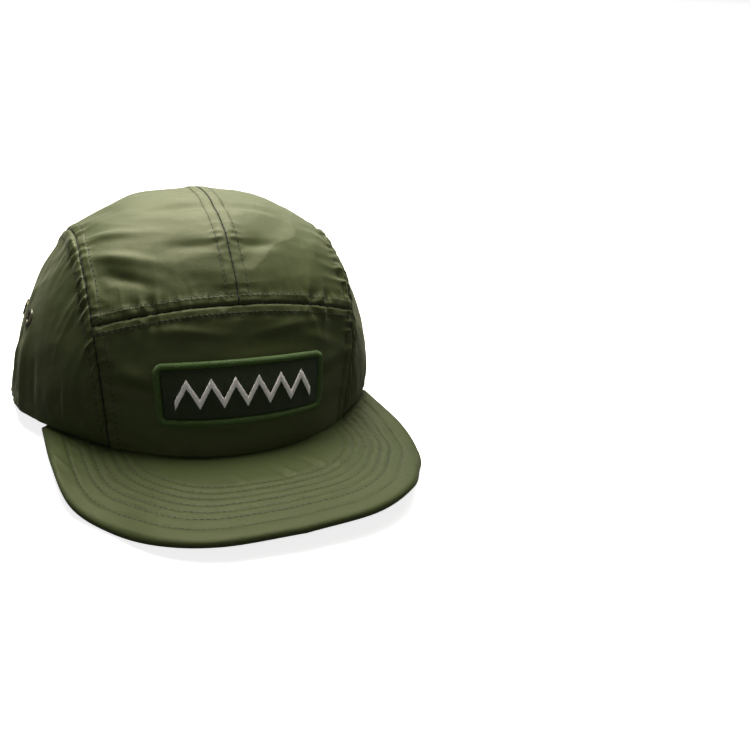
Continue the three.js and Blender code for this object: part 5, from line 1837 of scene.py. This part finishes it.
def crown_rows(crown, stitch):
    """The rows of thread on the crown's seams."""
    c, seam = crown.crown, crown.seams
    rows = []
    s = np.linspace(0.004, 0.996, 261)
    half = np.interp(s, crown.stations, crown.half_length)
    tall = np.interp(s, crown.stations, crown.side_tall)
    cut = c.front_share

    def add(places):
        rows.append(row_line(places, crown.outward(places)))

    for _, hand in hands:
        for part in (s < cut - 0.004, s > cut + 0.004):
            add(crown.belt_cloth(s[part], hand * (1 - seam.row / half[part])))
        reach = (tall > 1.6 * seam.row) & (s > 0.02) & (s < 0.98)
        add(crown.side_cloth(s[reach], seam.row / tall[reach], hand)[0])
        arch_s = crown.arch_place(np.array(0.0), crown.opening.casing)[0]
        top = s[(s > cut + 0.006) & (s < arch_s - 0.006)]
        half_top = np.interp(top, crown.stations, crown.half_length)
        add(crown.belt_cloth(top, hand * seam.row / half_top))
    u = np.linspace(-0.985, 0.985, 201)
    run = lerp(
        (np.interp(cut + 0.02, crown.stations, crown.middle_run)
         - np.interp(cut, crown.stations, crown.middle_run)) / 0.02,
        (np.interp(cut + 0.02, crown.stations, crown.seam_run)
         - np.interp(cut, crown.stations, crown.seam_run)) / 0.02, u ** 2)
    for side in (-1, 1):
        for twin in (-0.5, 0.5):
            away = side * (0.85 * seam.row + twin * stitch.twin)
            add(crown.belt_cloth(cut + away / run, u))
    turn = np.linspace(-1, 1, 241) * math.pi / 2 * 0.985
    for share in casing_rows:
        base, soft, sharp = casing_points(crown, turn, share + 0 * turn)
        add(crown.raised(base, soft + sharp))
    return rows


def ditch_rows(crown):
    """The rows of beads down in the seams themselves: seam thread, coloured near black as painted shade
    in the ditch.
    """
    c = crown.crown
    s = np.linspace(0, 1, 261)
    rows = []
    for _, hand in hands:
        place = crown.belt_cloth(s, hand * (1 - 0 * s))
        rows.append(row_line(place, crown.outward(place)))
    arch_s = crown.arch_place(np.array(0.0), crown.opening.casing)[0]
    top = s[(s > c.front_share) & (s < arch_s)]
    place = crown.belt_cloth(top, 0 * top)
    rows.append(row_line(place, crown.outward(place)))
    u = np.linspace(-0.99, 0.99, 161)
    place = crown.belt_cloth(c.front_share + 0 * u, u)
    rows.append(row_line(place, crown.outward(place)))
    return rows


def peak_rows(crown):
    """Rows of thread that follow the peak's edge, on its top and on its underside."""
    _, upper, lower, field = peak_surfaces(crown)
    rows = []
    for distance in peak_row_distances(crown.peak):
        # The last place of each column that is further from the edge than the row
        further = field[:, :-1] > distance
        j = further.shape[1] - 1 - np.argmax(further[:, ::-1], axis=1)
        i = np.arange(len(field))
        kept = np.nonzero(further.any(axis=1) & (j > 3))[0]
        if len(kept) < 8:
            continue
        i, j = i[kept], j[kept]
        share = ((field[i, j] - distance) / (field[i, j] - field[i, j + 1]))[:, None]
        for surface, up in ((upper, 1), (lower, -1)):
            places = lerp(surface[i, j], surface[i, j + 1], share)
            rows.append(row_line(places, points(0 * i, 0, up)))
    return rows


class CAP_OT_stitches(bpy.types.Operator):
    """Adds the topstitching of the crown and the peak"""
    bl_idname = "cap.stitches"
    bl_label = "Stitches"

    def execute(self, context):
        crown = crown_of(context)
        z = context.scene.cap_stitch
        groups = {"crown": crown_rows(crown, z), "peak": peak_rows(crown)}
        for name, rows in groups.items():
            thread = threads_on(
                f"{name}_stitches", rows, "thread", context,
                Pitch=z.pitch, Length=z.long, Width=z.wide, Height=z.tall,
            )
            put(thread, "thread", "nylon", context)
            # Near-black dots between the stitches: painted shade in the needle holes
            hole_shades = threads_on(
                f"{name}_needle_hole_shades", rows, "mark", context, Start=z.pitch / 2,
                Pitch=z.pitch, Length=z.mark, Width=z.mark * 0.85, Height=z.mark * 0.4,
            )
            put(hole_shades, "mark", "nylon", context)
        # Beads down in the seam ditches: seam thread, coloured near black as painted shade in the ditch
        hole_shades = threads_on(
            "ditch_thread_and_shade", ditch_rows(crown), "mark", context,
            Pitch=z.pitch, Length=z.ditch_long, Width=z.ditch_wide, Height=z.ditch_wide,
        )
        put(hole_shades, "mark", "nylon", context)
        return {"FINISHED"}


def aimed(name, kind, place, target, context, **settings):
    light = bpy.data.lights.new(name, kind)
    for key, value in settings.items():
        setattr(light, key, value)
    lamp = bpy.data.objects.new(name, light)
    context.scene.collection.objects.link(lamp)
    lamp.location = place
    lamp.rotation_euler = (Vector(target) - Vector(place)).to_track_quat("-Z", "Y").to_euler()
    return lamp


def studio_world(stage):
    """A white horizon between a dim ground and a dim ceiling."""
    world = bpy.data.worlds.new("studio")
    world.use_nodes = True
    tree = Tree(world.node_tree)
    world.node_tree.nodes.clear()
    way = tree.node("ShaderNodeTexCoord", output="Generated")
    height = tree.node("ShaderNodeSeparateXYZ", inputs={0: way}).of("Z")
    band = height * 0.5 + 0.5
    ground, white, ceiling = ((k, k, k, 1) for k in (stage.ground, 1, stage.ceiling))
    low, high = 0.49, 0.5 + stage.horizon / 2
    shade = tree.node("ShaderNodeValToRGB", {"stops": (
        (low - 0.002, ground), (low, white), (high, white), (high + 0.012, ceiling),
    )}, {0: band})
    back = tree.node("ShaderNodeBackground", inputs={"Color": shade, "Strength": 1.0})
    tree.node("ShaderNodeOutputWorld", inputs={"Surface": back})
    return world


class CAP_OT_stage(bpy.types.Operator):
    """Adds the floor, the lights and the camera"""
    bl_idname = "cap.stage"
    bl_label = "Stage"

    def execute(self, context):
        z = context.scene.cap_stage
        turn = np.linspace(0, 2 * math.pi, 64, endpoint=False)
        rim = points(z.floor_half * np.cos(turn), z.floor_half * np.sin(turn), 0)
        floor = mesh_object("floor", rim, [list(range(64))])
        if floor.data.polygons[0].normal.z < 0:
            floor.data.flip_normals()
        set_look(floor, "floor", context)
        floor.visible_diffuse = floor.visible_glossy = False
        middle = (0, 0, 0.05)
        warm = tuple(z.light_colour[:3])
        aimed("distant_light", "SUN", (0.25, 0.36, 1), middle, context, energy=z.sun,
              angle=z.sun_width, color=warm)
        aimed("overhead_sheet", "AREA", (0.02, 0.16, 0.45), middle, context, color=warm,
              energy=z.overhead, shape="RECTANGLE", size=0.42, size_y=0.3)
        aimed("back_sheet", "AREA", (0.6, 1.5, 0.85), middle, context, color=warm,
              energy=z.back_light, shape="RECTANGLE", size=2.0, size_y=1.0)
        aimed("front_fill", "AREA", (-0.7, -1.5, 0.9), middle, context,
              energy=z.fill, shape="RECTANGLE", size=1.4, size_y=1.0)
        context.scene.world = studio_world(z)
        camera = bpy.data.objects.new("camera", bpy.data.cameras.new("camera"))
        context.scene.collection.objects.link(camera)
        camera.data.lens, camera.data.sensor_width = z.lens, 36
        camera.data.shift_x, camera.data.shift_y = z.shift_x, z.shift_y
        camera.data.clip_start, camera.data.clip_end = 0.01, 50
        a, e = z.azimuth, z.elevation
        back_way = Vector((math.sin(a) * math.cos(e), -math.cos(a) * math.cos(e), math.sin(e)))
        turn = (-back_way).to_track_quat("-Z", "Y").to_matrix().to_4x4()
        camera.matrix_world = (Matrix.Translation(z.camera_place) @ turn
                               @ Matrix.Rotation(z.roll, 4, "Z"))
        context.scene.camera = camera
        context.scene.view_settings.view_transform = "Standard"
        return {"FINISHED"}


operators = (
    CAP_OT_front_panel, CAP_OT_top_panels, CAP_OT_side_panels, CAP_OT_casing, CAP_OT_peak,
    CAP_OT_sweatband, CAP_OT_straps, CAP_OT_buckle, CAP_OT_eyelets, CAP_OT_patch,
    CAP_OT_stitches, CAP_OT_stage,
)


class CAP_PT_panel(bpy.types.Panel):
    """Lists the cap's pieces and sizes"""
    bl_idname = "CAP_PT_panel"
    bl_label = "Five Panel Cap"
    bl_space_type = "VIEW_3D"
    bl_region_type = "UI"
    bl_category = "Cap"

    def draw(self, context):
        for operator in operators:
            self.layout.operator(operator.bl_idname)
        for key, group in size_groups.items():
            box = self.layout.box()
            box.label(text=group.__doc__)
            for name in group.__annotations__:
                box.prop(getattr(context.scene, key), name)


def register():
    for group in (*size_groups.values(), *operators, CAP_PT_panel):
        bpy.utils.register_class(group)
    for key, group in size_groups.items():
        setattr(bpy.types.Scene, key, PointerProperty(type=group))


def unregister():
    for key in size_groups:
        delattr(bpy.types.Scene, key)
    for group in reversed((*size_groups.values(), *operators, CAP_PT_panel)):
        bpy.utils.unregister_class(group)


def main():
    register()
    for operator in operators:
        call = getattr(bpy.ops.cap, operator.bl_idname.split(".")[1])
        if call() != {"FINISHED"}:
            raise RuntimeError(f"{operator.bl_idname} did not finish")


if __name__ == "__main__":
    main()
